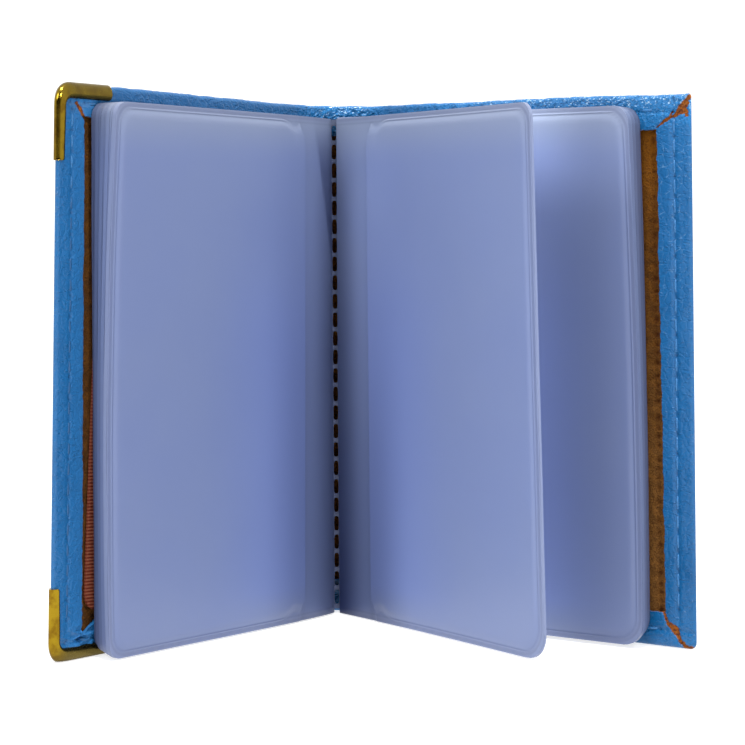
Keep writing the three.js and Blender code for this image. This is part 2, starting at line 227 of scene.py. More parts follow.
def cubic(controls: Array) -> tuple[Array, Array]:
    """Points of a cubic curve and the lengths along it.

    Each control point is weighted by its term of the cube of rest plus share.

    Args:
        controls: The four control points.

    Returns:
        Points from the first to the last control point, and the length of the curve up to each.
    """
    share = np.linspace(0.0, 1.0, CURVE_STEPS)[:, None]
    rest = 1.0 - share
    a, b, c, d = controls
    points = rest ** 3 * a + 3 * rest ** 2 * share * b + 3 * rest * share ** 2 * c + share ** 3 * d
    run = np.concatenate([[0.0], np.cumsum(np.linalg.norm(np.diff(points, axis=0), axis=1))])
    return points, run


class Shell:
    """Gathers patches of points into one closed mesh, welded along their shared borders.

    Points closer than the weld are merged, and edges shorter than the sliver are taken out, in metres.
    """

    weld = 2e-7
    sliver = 1e-8

    def __init__(self) -> None:
        """Starts an empty shell."""
        self.points: list[Array] = []
        self.faces: list[list[int]] = []
        self.marks: dict[str, list[tuple[int, Array]]] = {}
        self.total = 0

    def patch(self, points: Array, **marks: Array) -> Array:
        """Adds points, with any named values for the finish.

        Args:
            points: Points in millimetres, of any grid shape.
            **marks: Named values, one for each point.

        Returns:
            Index of each point, in the shape of the grid.
        """
        shape = points.shape[:-1]
        index = np.arange(int(np.prod(shape))).reshape(shape) + self.total
        for name, value in marks.items():
            flat = np.broadcast_to(value, shape).ravel()
            self.marks.setdefault(name, []).append((self.total, flat))
        self.points.append(points.reshape(-1, 3))
        self.total += index.size
        return index

    def quads(self, index: Array, wrap: bool = False) -> None:
        """Covers an index grid with four-sided faces.

        Args:
            index: Index grid, or a stack of them.
            wrap: Whether the last column joins the first.
        """
        if wrap:
            index = np.concatenate([index, index[..., :1]], axis=-1)
        corners = [index[..., :-1, :-1], index[..., 1:, :-1], index[..., 1:, 1:], index[..., :-1, 1:]]
        self.faces.extend(np.stack(corners, -1).reshape(-1, 4).tolist())

    def halve(self, fine: Array, coarse: Array) -> None:
        """Joins a closed ring to one with half as many points, three triangles to a step.

        Args:
            fine: Index of the ring's points.
            coarse: Index of the thinner ring's points.
        """
        a, b, c = fine[0::2], fine[1::2], np.roll(fine[0::2], -1)
        low, high = coarse, np.roll(coarse, -1)
        for corners in ((a, b, low), (b, high, low), (b, c, high)):
            self.faces.extend(np.stack(corners, -1).tolist())

    def sheet(self, front: Array, back: Array, **marks: Array) -> None:
        """Adds a thin closed sheet, with walls along its borders.

        Args:
            front: Grid of points of the front face.
            back: Grid of points of the back face.
            **marks: Named values for the finish, the same on both faces.
        """
        pair = np.stack([self.patch(front, **marks), self.patch(back, **marks)])
        self.quads(pair)
        for rim in (pair[:, 0, :], pair[:, -1, :], pair[:, :, 0], pair[:, :, -1]):
            self.quads(rim)

    def piece(self, name: str, material: bpy.types.Material, slot: Slot, nodes: tuple[str, ...],
              sharp: float = 40.0) -> bpy.types.Object:
        """Makes the object, rides it on the case and puts it in the place of its solids.

        Args:
            name: Name of the piece.
            material: Its finish.
            slot: Slot of the record that the finish belongs to; not used.
            nodes: Solids that it stands for.
            sharp: Angle in degrees past which an edge stays sharp.

        Returns:
            The finished object.
        """
        mesh = bpy.data.meshes.new(name)
        mesh.from_pydata((np.concatenate(self.points) * MM).tolist(), [], self.faces)
        for mark, parts in self.marks.items():
            values = np.zeros(self.total, np.float32)
            for start, flat in parts:
                values[start:start + flat.size] = flat
            mesh.attributes.new(mark, "FLOAT", "POINT").data.foreach_set("value", values)
        welded = bmesh.new()
        welded.from_mesh(mesh)
        bmesh.ops.remove_doubles(welded, verts=welded.verts, dist=self.weld)
        bmesh.ops.dissolve_degenerate(welded, edges=welded.edges, dist=self.sliver)
        bmesh.ops.recalc_face_normals(welded, faces=welded.faces)
        welded.to_mesh(mesh)
        welded.free()
        mesh.polygons.foreach_set("use_smooth", np.ones(len(mesh.polygons), bool))
        mesh.set_sharp_from_angle(angle=math.radians(sharp))
        mesh.materials.append(material)
        made = bpy.data.objects.new(name, mesh)
        bpy.context.scene.collection.objects.link(made)
        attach(made, "root")
        if nodes:
            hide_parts(*nodes)
        LOG.info("%s: %d faces", name, len(mesh.polygons))
        return made


@dataclass(frozen=True)
class Wire:
    """An output socket whose arithmetic adds Math nodes to its sheet."""

    sheet: "Sheet"
    socket: bpy.types.NodeSocket

    def _math(self, operation: str, first: Any, second: Any) -> "Wire":
        """Math node on two values."""
        return self.sheet.node("ShaderNodeMath", {"operation": operation}, {0: first, 1: second})

    def __add__(self, other: Any) -> "Wire":
        """Sum."""
        return self._math("ADD", self, other)

    def __radd__(self, other: Any) -> "Wire":
        """Sum, reflected."""
        return self._math("ADD", other, self)

    def __sub__(self, other: Any) -> "Wire":
        """Difference."""
        return self._math("SUBTRACT", self, other)

    def __rsub__(self, other: Any) -> "Wire":
        """Difference, reflected."""
        return self._math("SUBTRACT", other, self)

    def __mul__(self, other: Any) -> "Wire":
        """Product."""
        return self._math("MULTIPLY", self, other)

    def __rmul__(self, other: Any) -> "Wire":
        """Product, reflected."""
        return self._math("MULTIPLY", other, self)


class Sheet:
    """Node sheet of one material or world."""

    def __init__(self, owner: Any) -> None:
        """Opens an empty sheet.

        Args:
            owner: The new material or world.
        """
        self.owner = owner
        owner.use_nodes = True
        self.tree = owner.node_tree
        self.tree.nodes.clear()

    def node(self, kind: str, settings: dict[str, Any] | None = None,
             sockets: dict[int | str, Any] | None = None, output: int | str = 0) -> Wire:
        """Adds a node.

        Args:
            kind: Node type.
            settings: Values of its own fields, set first.
            sockets: Values or links of its inputs, by name or number.
            output: The output wanted.

        Returns:
            That output.
        """
        made = self.tree.nodes.new(kind)
        for key, value in (settings or {}).items():
            setattr(made, key, value)
        for key, value in (sockets or {}).items():
            if isinstance(value, Wire):
                self.tree.links.new(value.socket, made.inputs[key])
            elif isinstance(value, tuple) and len(value) == 3 and made.inputs[key].type == "RGBA":
                made.inputs[key].default_value = (*value, 1.0)
            else:
                made.inputs[key].default_value = value
        return Wire(self, made.outputs[output])

    def place(self) -> Wire:
        """Object coordinates."""
        return self.node("ShaderNodeTexCoord", output="Object")

    def mark(self, name: str) -> Wire:
        """A named value of the mesh."""
        return self.node("ShaderNodeAttribute", {"attribute_name": name}, output="Fac")

    def noise(self, size: float, detail: float = 2.0, stretch: Triple = (1.0, 1.0, 1.0)) -> Wire:
        """Noise over the object's own coordinates.

        Args:
            size: Size of the blotches in millimetres.
            detail: Octaves of finer noise.
            stretch: How much closer together the blotches lie along X, Y and Z.

        Returns:
            The noise, from 0 to 1.
        """
        spread = self.node("ShaderNodeMapping", None, {"Vector": self.place(), "Scale": stretch})
        sockets = {"Vector": spread, "Scale": 1.0 / (size * MM), "Detail": detail, "Roughness": 0.55}
        return self.node("ShaderNodeTexNoise", None, sockets)

    def cells(self, scale: float, feature: str, **more: float) -> Wire:
        """Cell pattern over the object's own coordinates.

        Args:
            scale: Cells in a metre.
            feature: What to measure: the soft distance to the middles, or the distance to the borders.
            **more: Further inputs that the feature has.

        Returns:
            The distance.
        """
        sockets = {"Vector": self.place(), "Scale": scale, **more}
        return self.node("ShaderNodeTexVoronoi", {"feature": feature}, sockets)

    def step(self, value: Wire, start: float, end: float) -> Wire:
        """Smooth step of a value from 0 at start to 1 at end.

        Args:
            value: The value.
            start: Where the step starts.
            end: Where it ends.

        Returns:
            The step.
        """
        return self.node("ShaderNodeMapRange", {"interpolation_type": "SMOOTHSTEP"},
                         {"Value": value, "From Min": start, "From Max": end})

    def blend(self, share: Any, first: Any, second: Any) -> Wire:
        """Colour mixed from first to second.

        Args:
            share: Share of the second colour.
            first: First colour, fixed or linked.
            second: Second colour, fixed or linked.

        Returns:
            The mixed colour.
        """
        return self.node("ShaderNodeMix", {"data_type": "RGBA", "clamp_factor": False},
                         {0: share, 6: first, 7: second}, 2)

    def bump(self, height: Wire, depth: float, strength: float = 1.0, under: Wire | None = None) -> Wire:
        """Bump of a height.

        Args:
            height: The height, from 0 to 1.
            depth: Depth in millimetres that a height of 1 stands for.
            strength: Share of the bump that shows.
            under: Bump that this one lies on.

        Returns:
            The normal.
        """
        sockets: dict[int | str, Any] = {"Height": height, "Distance": depth * MM, "Strength": strength}
        if under is not None:
            sockets["Normal"] = under
        return self.node("ShaderNodeBump", None, sockets)

    def finish(self, sockets: dict[int | str, Any]) -> bpy.types.Material:
        """Ends the sheet of a material in a Principled shader.

        Args:
            sockets: Values or links of the shader's inputs.

        Returns:
            The material.
        """
        self.end("ShaderNodeOutputMaterial", self.node("ShaderNodeBsdfPrincipled", None, sockets))
        return self.owner

    def end(self, kind: str, shader: Wire) -> None:
        """Links a shader to the surface of an output node of that kind."""
        made = self.tree.nodes.new(kind)
        self.tree.links.new(shader.socket, made.inputs["Surface"])


@dataclass(frozen=True)
class BlueLeather:
    """Grained blue leather, with bare orange-brown leather where it is torn or cut."""

    body: Colour = (0.0095, 0.107, 0.285)
    deep: Colour = (0.005, 0.078, 0.222)
    glare: Colour = (0.36, 0.58, 0.80)
    shiny: Colour = (0.016, 0.185, 0.470)
    lit: Colour = (0.034, 0.178, 0.440)
    bare: Colour = (0.33, 0.095, 0.006)
    bare_dark: Colour = (0.13, 0.030, 0.006)
    hole: Colour = (0.006, 0.045, 0.14)
    grain_cells: float = 1500.0
    line_cells: float = 520.0
    pebble_cells: float = 1250.0

    def make(self) -> bpy.types.Material:
        """Makes the material.

        Two sizes of dark blotches lie on the body colour. Painted light makes it brighter where the hem is
        crumpled and along the lift mark, which paints shade where it falls below 0. Painted highlights, pale
        specks and the borders of the cells, show where it shines, and the needle holes get painted shade. A
        ragged step bares the torn leather. The grain is bumped from cells, their borders, long wrinkles and
        pebbles on the crumpled parts.

        Returns:
            The material.
        """
        sheet = Sheet(bpy.data.materials.new("blue_leather"))
        cells = sheet.cells(self.grain_cells, "SMOOTH_F1", Smoothness=0.5)
        grain = sheet.noise(0.9, 3.0)
        lines = sheet.cells(self.line_cells, "DISTANCE_TO_EDGE")
        crease = sheet.mark("crease")
        colour = sheet.blend(sheet.step(sheet.noise(7.0), 0.35, 0.75) * 0.45, self.body, self.deep)
        colour = sheet.blend(sheet.step(grain, 0.55, 0.75) * 0.35, colour, self.deep)
        # Painted light: the crumpled hem is brighter as lit from above, and the lift mark brightens the
        # inner strip of the left hem; below 0 that mark paints shade.
        colour = sheet.blend(crease * 0.8, colour, self.shiny)
        colour = sheet.blend(sheet.mark("lift"), colour, self.lit)
        # Painted highlights: pale specks on the crumpled top hem, and short glint lines along the cell
        # borders on the right.
        glint = sheet.mark("glint")
        speck = sheet.step(sheet.noise(0.7, 1.0, (1.0, 1.0, 1.6)), 0.61, 0.71)
        ridge = (1.0 - sheet.step(lines, 0.0, 0.05)) * sheet.step(sheet.noise(1.0), 0.53, 0.63)
        shine = glint * speck + (sheet.mark("wear") + glint * 0.4) * ridge
        colour = sheet.blend(shine, colour, self.glare)
        # Painted shade in the needle holes.
        colour = sheet.blend(sheet.mark("pit") * 0.8, colour, self.hole)
        torn = sheet.step(sheet.mark("raw") + (sheet.noise(0.6, 3.0) - 0.5) * 0.5, 0.42, 0.54)
        bare = sheet.blend(sheet.step(sheet.noise(0.6, 3.0), 0.35, 0.6), self.bare_dark, self.bare)
        colour = sheet.blend(torn, colour, bare)
        rough = 0.32 + (grain - 0.5) * 0.25 - crease * 0.17 + torn * 0.5
        normal = sheet.bump(cells, 0.09, 0.6)
        normal = sheet.bump(sheet.step(lines, 0.0, 0.12), 0.08, 0.5, normal)
        wrinkle = sheet.noise(1.5, 3.0, (1.0, 1.0, 3.2))
        normal = sheet.bump(sheet.step(wrinkle, 0.52, 0.72), 0.2, 0.6, normal)
        pebble = sheet.cells(self.pebble_cells, "SMOOTH_F1", Smoothness=0.4)
        normal = sheet.bump(sheet.noise(0.4, 2.0) * crease, 0.35, 0.9, normal)
        normal = sheet.bump(pebble * crease, 0.3, 0.9, normal)
        return sheet.finish({"Base Color": colour, "Roughness": rough, "Normal": normal,
                             "Specular IOR Level": 0.32, "Coat Weight": 0.08 + glint * 0.4 - torn * 0.48,
                             "Coat Roughness": 0.1})


@dataclass(frozen=True)
class BlueThread:
    """Twisted sewing thread, a little paler than the leather."""

    body: Colour = (0.034, 0.165, 0.385)
    deep: Colour = (0.016, 0.105, 0.27)
    dark: Colour = (0.006, 0.062, 0.175)

    def make(self) -> bpy.types.Material:
        """Makes the material.

        Fine noise gives the twist its light and dark strands, and shaded stitches go darker.

        Returns:
            The material.
        """
        sheet = Sheet(bpy.data.materials.new("blue_thread"))
        twist = sheet.noise(0.3, 1.0)
        colour = sheet.blend(sheet.step(twist, 0.3, 0.6), self.deep, self.body)
        colour = sheet.blend(sheet.mark("shade"), colour, self.dark)
        return sheet.finish({"Base Color": colour, "Roughness": 0.38, "Normal": sheet.bump(twist, 0.06)})


@dataclass(frozen=True)
class BrownSuede:
    """Rough brown suede with a blotchy nap."""

    body: Colour = (0.095, 0.037, 0.008)
    pale: Colour = (0.150, 0.057, 0.009)
    dark: Colour = (0.032, 0.012, 0.004)
    dent_shade: Colour = (0.045, 0.010, 0.002)
    warm: Colour = (0.29, 0.100, 0.006)
    worn: Colour = (0.22, 0.100, 0.028)

    def make(self) -> bpy.types.Material:
        """Makes the material.

        Blotches of two browns are painted lighter and more orange near the top, as lit from above, and turn
        paler and greyer further down. A fine dark nap lies over them, and the dents get painted shade.

        Returns:
            The material.
        """
        sheet = Sheet(bpy.data.materials.new("brown_suede"))
        nap = sheet.noise(0.35, 3.0)
        patch = sheet.noise(1.8, 3.0)
        colour = sheet.blend(sheet.step(patch, 0.4, 0.64), self.body, self.pale)
        # Painted light near the top of the right strip.
        colour = sheet.blend(sheet.mark("warm") * 0.55, colour, self.warm)
        colour = sheet.blend(sheet.mark("worn") * 0.6, colour, self.worn)
        colour = sheet.blend(sheet.step(nap, 0.46, 0.7) * 0.6, colour, self.dark)
        # Painted shade in the dents.
        colour = sheet.blend(sheet.mark("dent") * 0.9, colour, self.dent_shade)
        normal = sheet.bump(nap, 0.35, 0.8)
        return sheet.finish({"Base Color": colour, "Roughness": 0.95, "Normal": normal,
                             "Specular IOR Level": 0.02, "Sheen Weight": 0.04})


@dataclass(frozen=True)
class WornBrass:
    """Polished brass, a little dulled by handling."""

    bright: Colour = (0.29, 0.188, 0.012)
    dull: Colour = (0.17, 0.092, 0.007)
    olive: Colour = (0.105, 0.079, 0.020)

    def make(self) -> bpy.types.Material:
        """Makes the material.

        A slow haze dulls the bright colour. Where the brass is tarnished it turns olive and rougher; that
        mark also paints shade, a painted dark reflection on the bars and painted shade along the lips. Fine
        spots vary the gloss.

        Returns:
            The material.
        """
        sheet = Sheet(bpy.data.materials.new("worn_brass"))
        haze = sheet.noise(2.2, 3.0)
        spots = sheet.noise(0.4, 3.0)
        colour = sheet.blend(sheet.step(haze, 0.4, 0.7), self.bright, self.dull)
        # Partly tarnished brass, partly painted shade: a painted dark reflection on the bars and painted
        # shade along the lips.
        tarnish = sheet.mark("tarnish")
        colour = sheet.blend(tarnish, colour, self.olive)
        rough = 0.12 + sheet.step(spots, 0.45, 0.8) * 0.08 + tarnish * 0.14
        normal = sheet.bump(spots, 0.004, 0.4)
        return sheet.finish({"Base Color": colour, "Roughness": rough, "Metallic": 1.0, "Normal": normal})


@dataclass(frozen=True)
class MilkyFilm:
    """Milky lilac plastic film, greyer at its rims, with painted shade in the gutter and deep in the stacks
    and painted light at its top.
    """

    body: Colour = (0.150, 0.192, 0.352)
    dim: Colour = (0.005, 0.010, 0.050)
    rim: Colour = (0.182, 0.216, 0.345)
    crown: Colour = (0.255, 0.292, 0.338)
    cool: Colour = (0.152, 0.205, 0.440)

    def make(self) -> bpy.types.Material:
        """Makes the material.

        The body goes greyer at the rims. Painted light makes it greyer at the top and bluer in the shaded
        middle, as light through the film would. The tone of the leaf, its painted shade and light, then
        mixes it up from its dim colour.

        Returns:
            The material.
        """
        sheet = Sheet(bpy.data.materials.new("milky_film"))
        height = sheet.node("ShaderNodeSeparateXYZ", None, {0: sheet.place()}, "Z")
        # Painted light at the top.
        colour = sheet.blend(sheet.step(height, 0.096, 0.109) * 0.5, self.body, self.crown)
        colour = sheet.blend(sheet.mark("rim") * 0.5, colour, self.rim)
        cloud = sheet.noise(22.0, 2.0)
        colour = sheet.blend(sheet.step(cloud, 0.3, 0.8) * 0.08, colour, self.crown)
        # Painted light: bluer in the shaded middle.
        colour = sheet.blend(sheet.mark("cool") * 0.68, colour, self.cool)
        # Painted shade and light: the tone of the leaf.
        colour = sheet.blend(sheet.mark("tone"), self.dim, colour)
        haze = sheet.noise(0.35, 2.0)
        rough = 0.36 + (haze - 0.5) * 0.1
        return sheet.finish({"Base Color": colour, "Roughness": rough, "Normal": sheet.bump(haze, 0.006),
                             "Specular IOR Level": 0.35})


@dataclass(frozen=True)
class RibbedRedCard:
    """Red card with fine ribs and a painted highlight along their crests."""

    body: Colour = (0.135, 0.011, 0.003)
    crest: Colour = (0.28, 0.100, 0.054)

    def make(self) -> bpy.types.Material:
        """Makes the material.

        The crests of the ribs get a painted highlight, made uneven by a soft noise.

        Returns:
            The material.
        """
        sheet = Sheet(bpy.data.materials.new("ribbed_red_card"))
        # Painted highlight along the rib crests.
        worn = sheet.mark("crest") * (0.6 + sheet.noise(1.6, 2.0) * 0.5)
        colour = sheet.blend(worn, self.body, self.crest)
        return sheet.finish({"Base Color": colour, "Roughness": 0.6, "Specular IOR Level": 0.3})


@dataclass(frozen=True)
class CasePlan:
    """Sizes of the folded cover, and the ways from flat leather to the standing case."""

    height: float = 110.0
    spine_width: float = 10.0
    bend_radius: float = 4.0
    spine_x: float = -7.98
    spine_y: float = 31.2
    left_length: float = 80.6
    right_length: float = 81.0
    left_swing: tuple[float, float] = (52.35, 54.1)
    right_swing: tuple[float, float] = (35.6, 39.0)

    def swing(self, left: Any, z: Any) -> Array:
        """Swing in radians at a height, of the left cover where left is true."""
        share = np.asarray(z) / self.height
        return np.radians(np.where(left, lerp(*self.left_swing, share), lerp(*self.right_swing, share)))

    def development(self, left: Any, z: Any) -> tuple[Array, Array, Array, Array]:
        """Lengths of the unrolled fold of a cover at a height.

        The tangent length is the bend radius times the tangent of half the swing.

        Args:
            left: Whether it is the left cover.
            z: Height.

        Returns:
            Swing, end of the flat spine, end of the bend and tangent length.
        """
        swing = self.swing(left, z)
        tangent = self.bend_radius * np.tan(swing / 2.0)
        flat = self.spine_width / 2.0 - tangent
        return swing, flat, flat + self.bend_radius * swing, tangent

    def run(self, side: Side, along: Any) -> Any:
        """Developed place of a distance along a cover from its spine corner."""
        _, _, bend, tangent = self.development(side is Side.LEFT, self.height / 2.0)
        return side.value * (bend + along - tangent)

    def stand(self, run: Array, outward: Array, z: Array) -> Array:
        """Points of the standing case from flat leather.

        The run is laid along the flat spine, then round an arc of the bend radius plus the depth, then
        straight along the swung cover.

        Args:
            run: Developed distance from the middle of the spine, negative on the left.
            outward: Depth behind the inner face.
            z: Height.

        Returns:
            Points in millimetres.
        """
        run, outward, z = np.broadcast_arrays(run, outward, z)
        swing, flat, bend, _ = self.development(run < 0, z)
        distance = np.abs(run)
        turned = np.clip((distance - flat) / self.bend_radius, 0.0, swing)
        straight = np.maximum(distance - bend, 0.0)
        radius = self.bend_radius + outward
        across = np.minimum(distance, flat) + radius * np.sin(turned) + straight * np.cos(swing)
        back = radius * np.cos(turned) - self.bend_radius - straight * np.sin(swing)
        return np.stack([self.spine_x + np.sign(run) * across, self.spine_y + back, z], -1)

    def beside(self, side: Side, along: float, inward: float, z: float) -> Array:
        """Plan point beside a cover.

        Args:
            side: The cover.
            along: Distance along it from its spine corner.
            inward: Distance in from its inner face.
            z: Height.

        Returns:
            X and Y in millimetres.
        """
        swing = float(self.swing(side is Side.LEFT, z))
        across = self.spine_width / 2.0 + along * math.cos(swing) - inward * math.sin(swing)
        forward = along * math.sin(swing) + inward * math.cos(swing)
        return np.array([self.spine_x + side.value * across, self.spine_y - forward])


@dataclass(frozen=True)
class Tear:
    """Torn strip of a hem at a corner.

    The path's places are given by their distances in from the fore edge and from the end edge, each with
    half the strip's width there.
    """

    corner: Corner
    path: tuple[Triple, ...]


@dataclass
class Cover:
    """Leather cover: the skin, folded over at all edges into hems round the lining's window.

    Hem ends are the widths of each hem where the walk round the cover starts and ends its edge. Fold
    sizes, the tuck and the skin's inset are given for the end edges and the fore edges, in that order.
    Waves have a height, a wavelength and a seed.
    """

    plan: CasePlan
    thickness: float = 3.0
    skin_face: float = 2.0
    fold_depth: tuple[float, float] = (0.9, 0.6)
    fold_middle: tuple[float, float] = (0.9, 0.55)
    tuck: tuple[float, float] = (0.7, 2.1)
    skin_inset: tuple[float, float] = (1.6, 2.6)
    end_steps: int = 344
    fore_steps: int = 220
    arc_steps: int = 8
    crowd_reach: float = 16.0
    crowd_finest: float = 0.3
    hem_ends: dict[Edge, tuple[float, float]] = field(default_factory=lambda: {
        Edge.BOTTOM: (6.9, 6.9), Edge.RIGHT: (6.6, 7.7), Edge.TOP: (7.1, 5.8), Edge.LEFT: (7.1, 7.9)})
    corner_radius: tuple[float, ...] = (4.0, 1.6, 0.9, 4.0)
    stitch_inset: dict[Edge, float] = field(default_factory=lambda: {
        Edge.BOTTOM: 3.5, Edge.RIGHT: 3.8, Edge.TOP: 3.4, Edge.LEFT: 3.8})
    stitch_pitch: float = 3.9
    brass_leg: float = 14.3
    brass_level: float = 1.2
    brass_squeeze: float = 0.62
    brass_pull: float = 0.8
    cut_waves: tuple[Wave, ...] = ((0.12, 9.0, 20), (0.09, 2.0, 30))
    soft_waves: tuple[Wave, ...] = ((0.035, 6.0, 43), (0.015, 1.8, 44))
    torn_waves: tuple[Wave, ...] = ((0.13, 1.0, 45), (0.07, 0.5, 46))
    top_waves: tuple[Wave, ...] = ((0.09, 6.0, 51), (0.03, 1.8, 52))
    back_waves: tuple[Wave, ...] = ((0.07, 24.0, 61), (0.03, 7.0, 62))
    tear_depth: float = 0.55
    tears: tuple[Tear, ...] = (
        Tear(Corner.TOP_RIGHT, ((0.0, 0.0, 0.35), (0.6, 1.2, 0.45), (1.7, 2.6, 0.9), (2.4, 3.2, 0.75),
                                (3.3, 4.1, 0.45), (4.4, 4.6, 0.3), (5.8, 5.2, 0.38), (7.7, 6.7, 0.12))),
        Tear(Corner.TOP_RIGHT, ((1.7, 3.0, 0.6), (1.0, 4.2, 0.5))),
        Tear(Corner.TOP_RIGHT, ((4.3, 3.3, 0.22), (4.5, 4.6, 0.25))),
        Tear(Corner.BOTTOM_RIGHT, ((7.2, 7.1, 0.25), (6.5, 5.4, 0.28), (5.8, 4.4, 0.5), (4.9, 3.9, 0.75),
                                   (4.1, 2.7, 0.5), (3.3, 1.2, 0.45), (1.9, 0.3, 0.5), (0.3, 0.0, 0.5))),
        Tear(Corner.TOP_LEFT, ((5.2, 3.6, 0.4), (5.9, 4.4, 0.5), (6.6, 5.5, 0.42), (7.3, 6.6, 0.25))),
    )

    def __post_init__(self) -> None:
        """Works out the developed outline."""
        self.low_run = float(self.plan.run(Side.LEFT, self.plan.left_length))
        self.high_run = float(self.plan.run(Side.RIGHT, self.plan.right_length))

    def shares(self, edge: Edge) -> Array:
        """Stations along an edge, closer near the corners and the spine.

        Args:
            edge: The edge.

        Returns:
            Shares of the edge, from 0 to 1.
        """
        length = self.edge_length(edge)
        spots = [0.0, length] if edge.upright else [0.0, length, -self.low_run]
        spots = [(spot, self.crowd_reach) for spot in spots]
        steps = self.fore_steps if edge.upright else self.end_steps
        rising = crowded(length, steps, spots, self.crowd_finest) / length
        return 1.0 - rising[::-1] if edge is Edge.TOP else rising

    def edge_length(self, edge: Edge) -> float:
        """Developed length of an edge."""
        return self.plan.height if edge.upright else self.high_run - self.low_run

    def hem_width(self, edge: Edge, share: Array) -> Array:
        """Width of a hem along its edge.

        A straight run between the widths at its ends is added to long and short waves of the cut side.
        The bottom hem is cut back at its start.

        Args:
            edge: The edge.
            share: Stations along it.

        Returns:
            Width at each station.
        """
        place = share * self.edge_length(edge)
        width = lerp(*self.hem_ends[edge], share) + ripples(place, 0.0 * place, self.cut_waves, edge.value)
        if edge is Edge.BOTTOM:
            width = width - 2.6 * np.maximum(1.0 - place / 4.2, 0.0)
        return width

    def walk(self, inset: dict[Edge, Array], radius: Array) -> tuple[Array, Array]:
        """Rings round the outline, set in from its edges.

        Each straight part runs between two corner arcs, whose radius may differ from ring to ring. The
        walk starts in the middle of the lower left arc.

        Args:
            inset: For each edge, the inset of each ring at each of its stations.
            radius: Radius of each ring's four arcs.

        Returns:
            Developed places and heights of the rings' points.
        """
        corners = [
            [self.low_run + inset[Edge.LEFT][:, -1], inset[Edge.BOTTOM][:, 0]],
            [self.high_run - inset[Edge.RIGHT][:, 0], inset[Edge.BOTTOM][:, -1]],
            [self.high_run - inset[Edge.RIGHT][:, -1], self.plan.height - inset[Edge.TOP][:, 0]],
            [self.low_run + inset[Edge.LEFT][:, 0], self.plan.height - inset[Edge.TOP][:, -1]],
        ]
        arc = np.linspace(0.0, 0.5 * math.pi, self.arc_steps + 1)[1:-1]
        signs = [(1, 1), (-1, 1), (-1, -1), (1, -1)]
        runs, heights = [], []
        for number, edge in enumerate(Edge):
            (x, z), (sx, sz) = corners[number], signs[number]
            r = radius[:, number, None]
            angle = arc + math.pi * (1.0 + 0.5 * number)
            runs.append(x[:, None] + sx * r + r * np.cos(angle))
            heights.append(z[:, None] + sz * r + r * np.sin(angle))
            share = self.shares(edge)
            far = (number + 1) % 4
            end, es, r2 = corners[far], signs[far], radius[:, far, None]
            if edge.upright:
                heights.append(lerp(z[:, None] + sz * r, end[1][:, None] + es[1] * r2, share))
                base = self.high_run if edge is Edge.RIGHT else self.low_run
                runs.append(base + (-1 if edge is Edge.RIGHT else 1) * inset[edge])
            else:
                runs.append(lerp(x[:, None] + sx * r, end[0][:, None] + es[0] * r2, share))
                base = 0.0 if edge is Edge.BOTTOM else self.plan.height
                heights.append(base + (1 if edge is Edge.BOTTOM else -1) * inset[edge])
        turn = -(self.arc_steps // 2 - 1)
        return tuple(np.roll(np.concatenate(part, 1), turn, 1) for part in (runs, heights))

    def around(self) -> Array:
        """How far each point of a ring belongs to a fore edge, blended evenly round the corner arcs.

        Returns:
            1 on the fore edges and 0 at the top and the bottom.
        """
        parts = []
        inner = np.linspace(0.0, 1.0, self.arc_steps + 1)[1:-1]
        for edge in Edge:
            side = 1.0 if edge.upright else 0.0
            parts += [lerp(1.0 - side, side, inner), np.full(self.shares(edge).size, side)]
        return np.roll(np.concatenate(parts), -(self.arc_steps // 2 - 1))

    def brass_zone(self, run: Array, z: Array) -> Array:
        """Where the brass corners cover the leather: smooth steps at their ends and their lips.

        Args:
            run: Developed place.
            z: Height.

        Returns:
            1 under the brass and 0 away from it.
        """
        out = run - self.low_run
        end = np.minimum(z, self.plan.height - z)
        reach = ease(self.brass_leg - 1.0, self.brass_leg - 2.2, out)
        reach = reach * ease(self.brass_leg - 1.0, self.brass_leg - 2.2, end)
        band = np.maximum(ease(1.5, 0.9, out), ease(2.1, 1.4, end))
        return reach * band

    def crease(self, run: Array, z: Array) -> Array:
        """How crumpled the leather is: most at the spine's ends and along the right top hem.

        Smooth steps mark the top hem, the spine, the right half and the bottom hem, and bell curves mark
        the right corners.

        Args:
            run: Developed place.
            z: Height.

        Returns:
            0 where it is smooth, up to 1.
        """
        top = ease(self.plan.height - 8.0, self.plan.height - 2.0, z)
        spine = ease(13.0, 5.0, np.abs(run + 0.5))
        right = ease(8.0, 30.0, run) * 0.9
        ends = np.maximum(hump(z, self.plan.height, 7.0), 0.4 * hump(z, 0.0, 7.0))
        corner = hump(run, self.high_run - 2.0, 7.0) * ends
        tail = ease(8.0, 2.0, z) * 0.4
        return np.clip(top * np.maximum(spine, right) + 0.7 * corner + tail * spine, 0.0, 1.0)

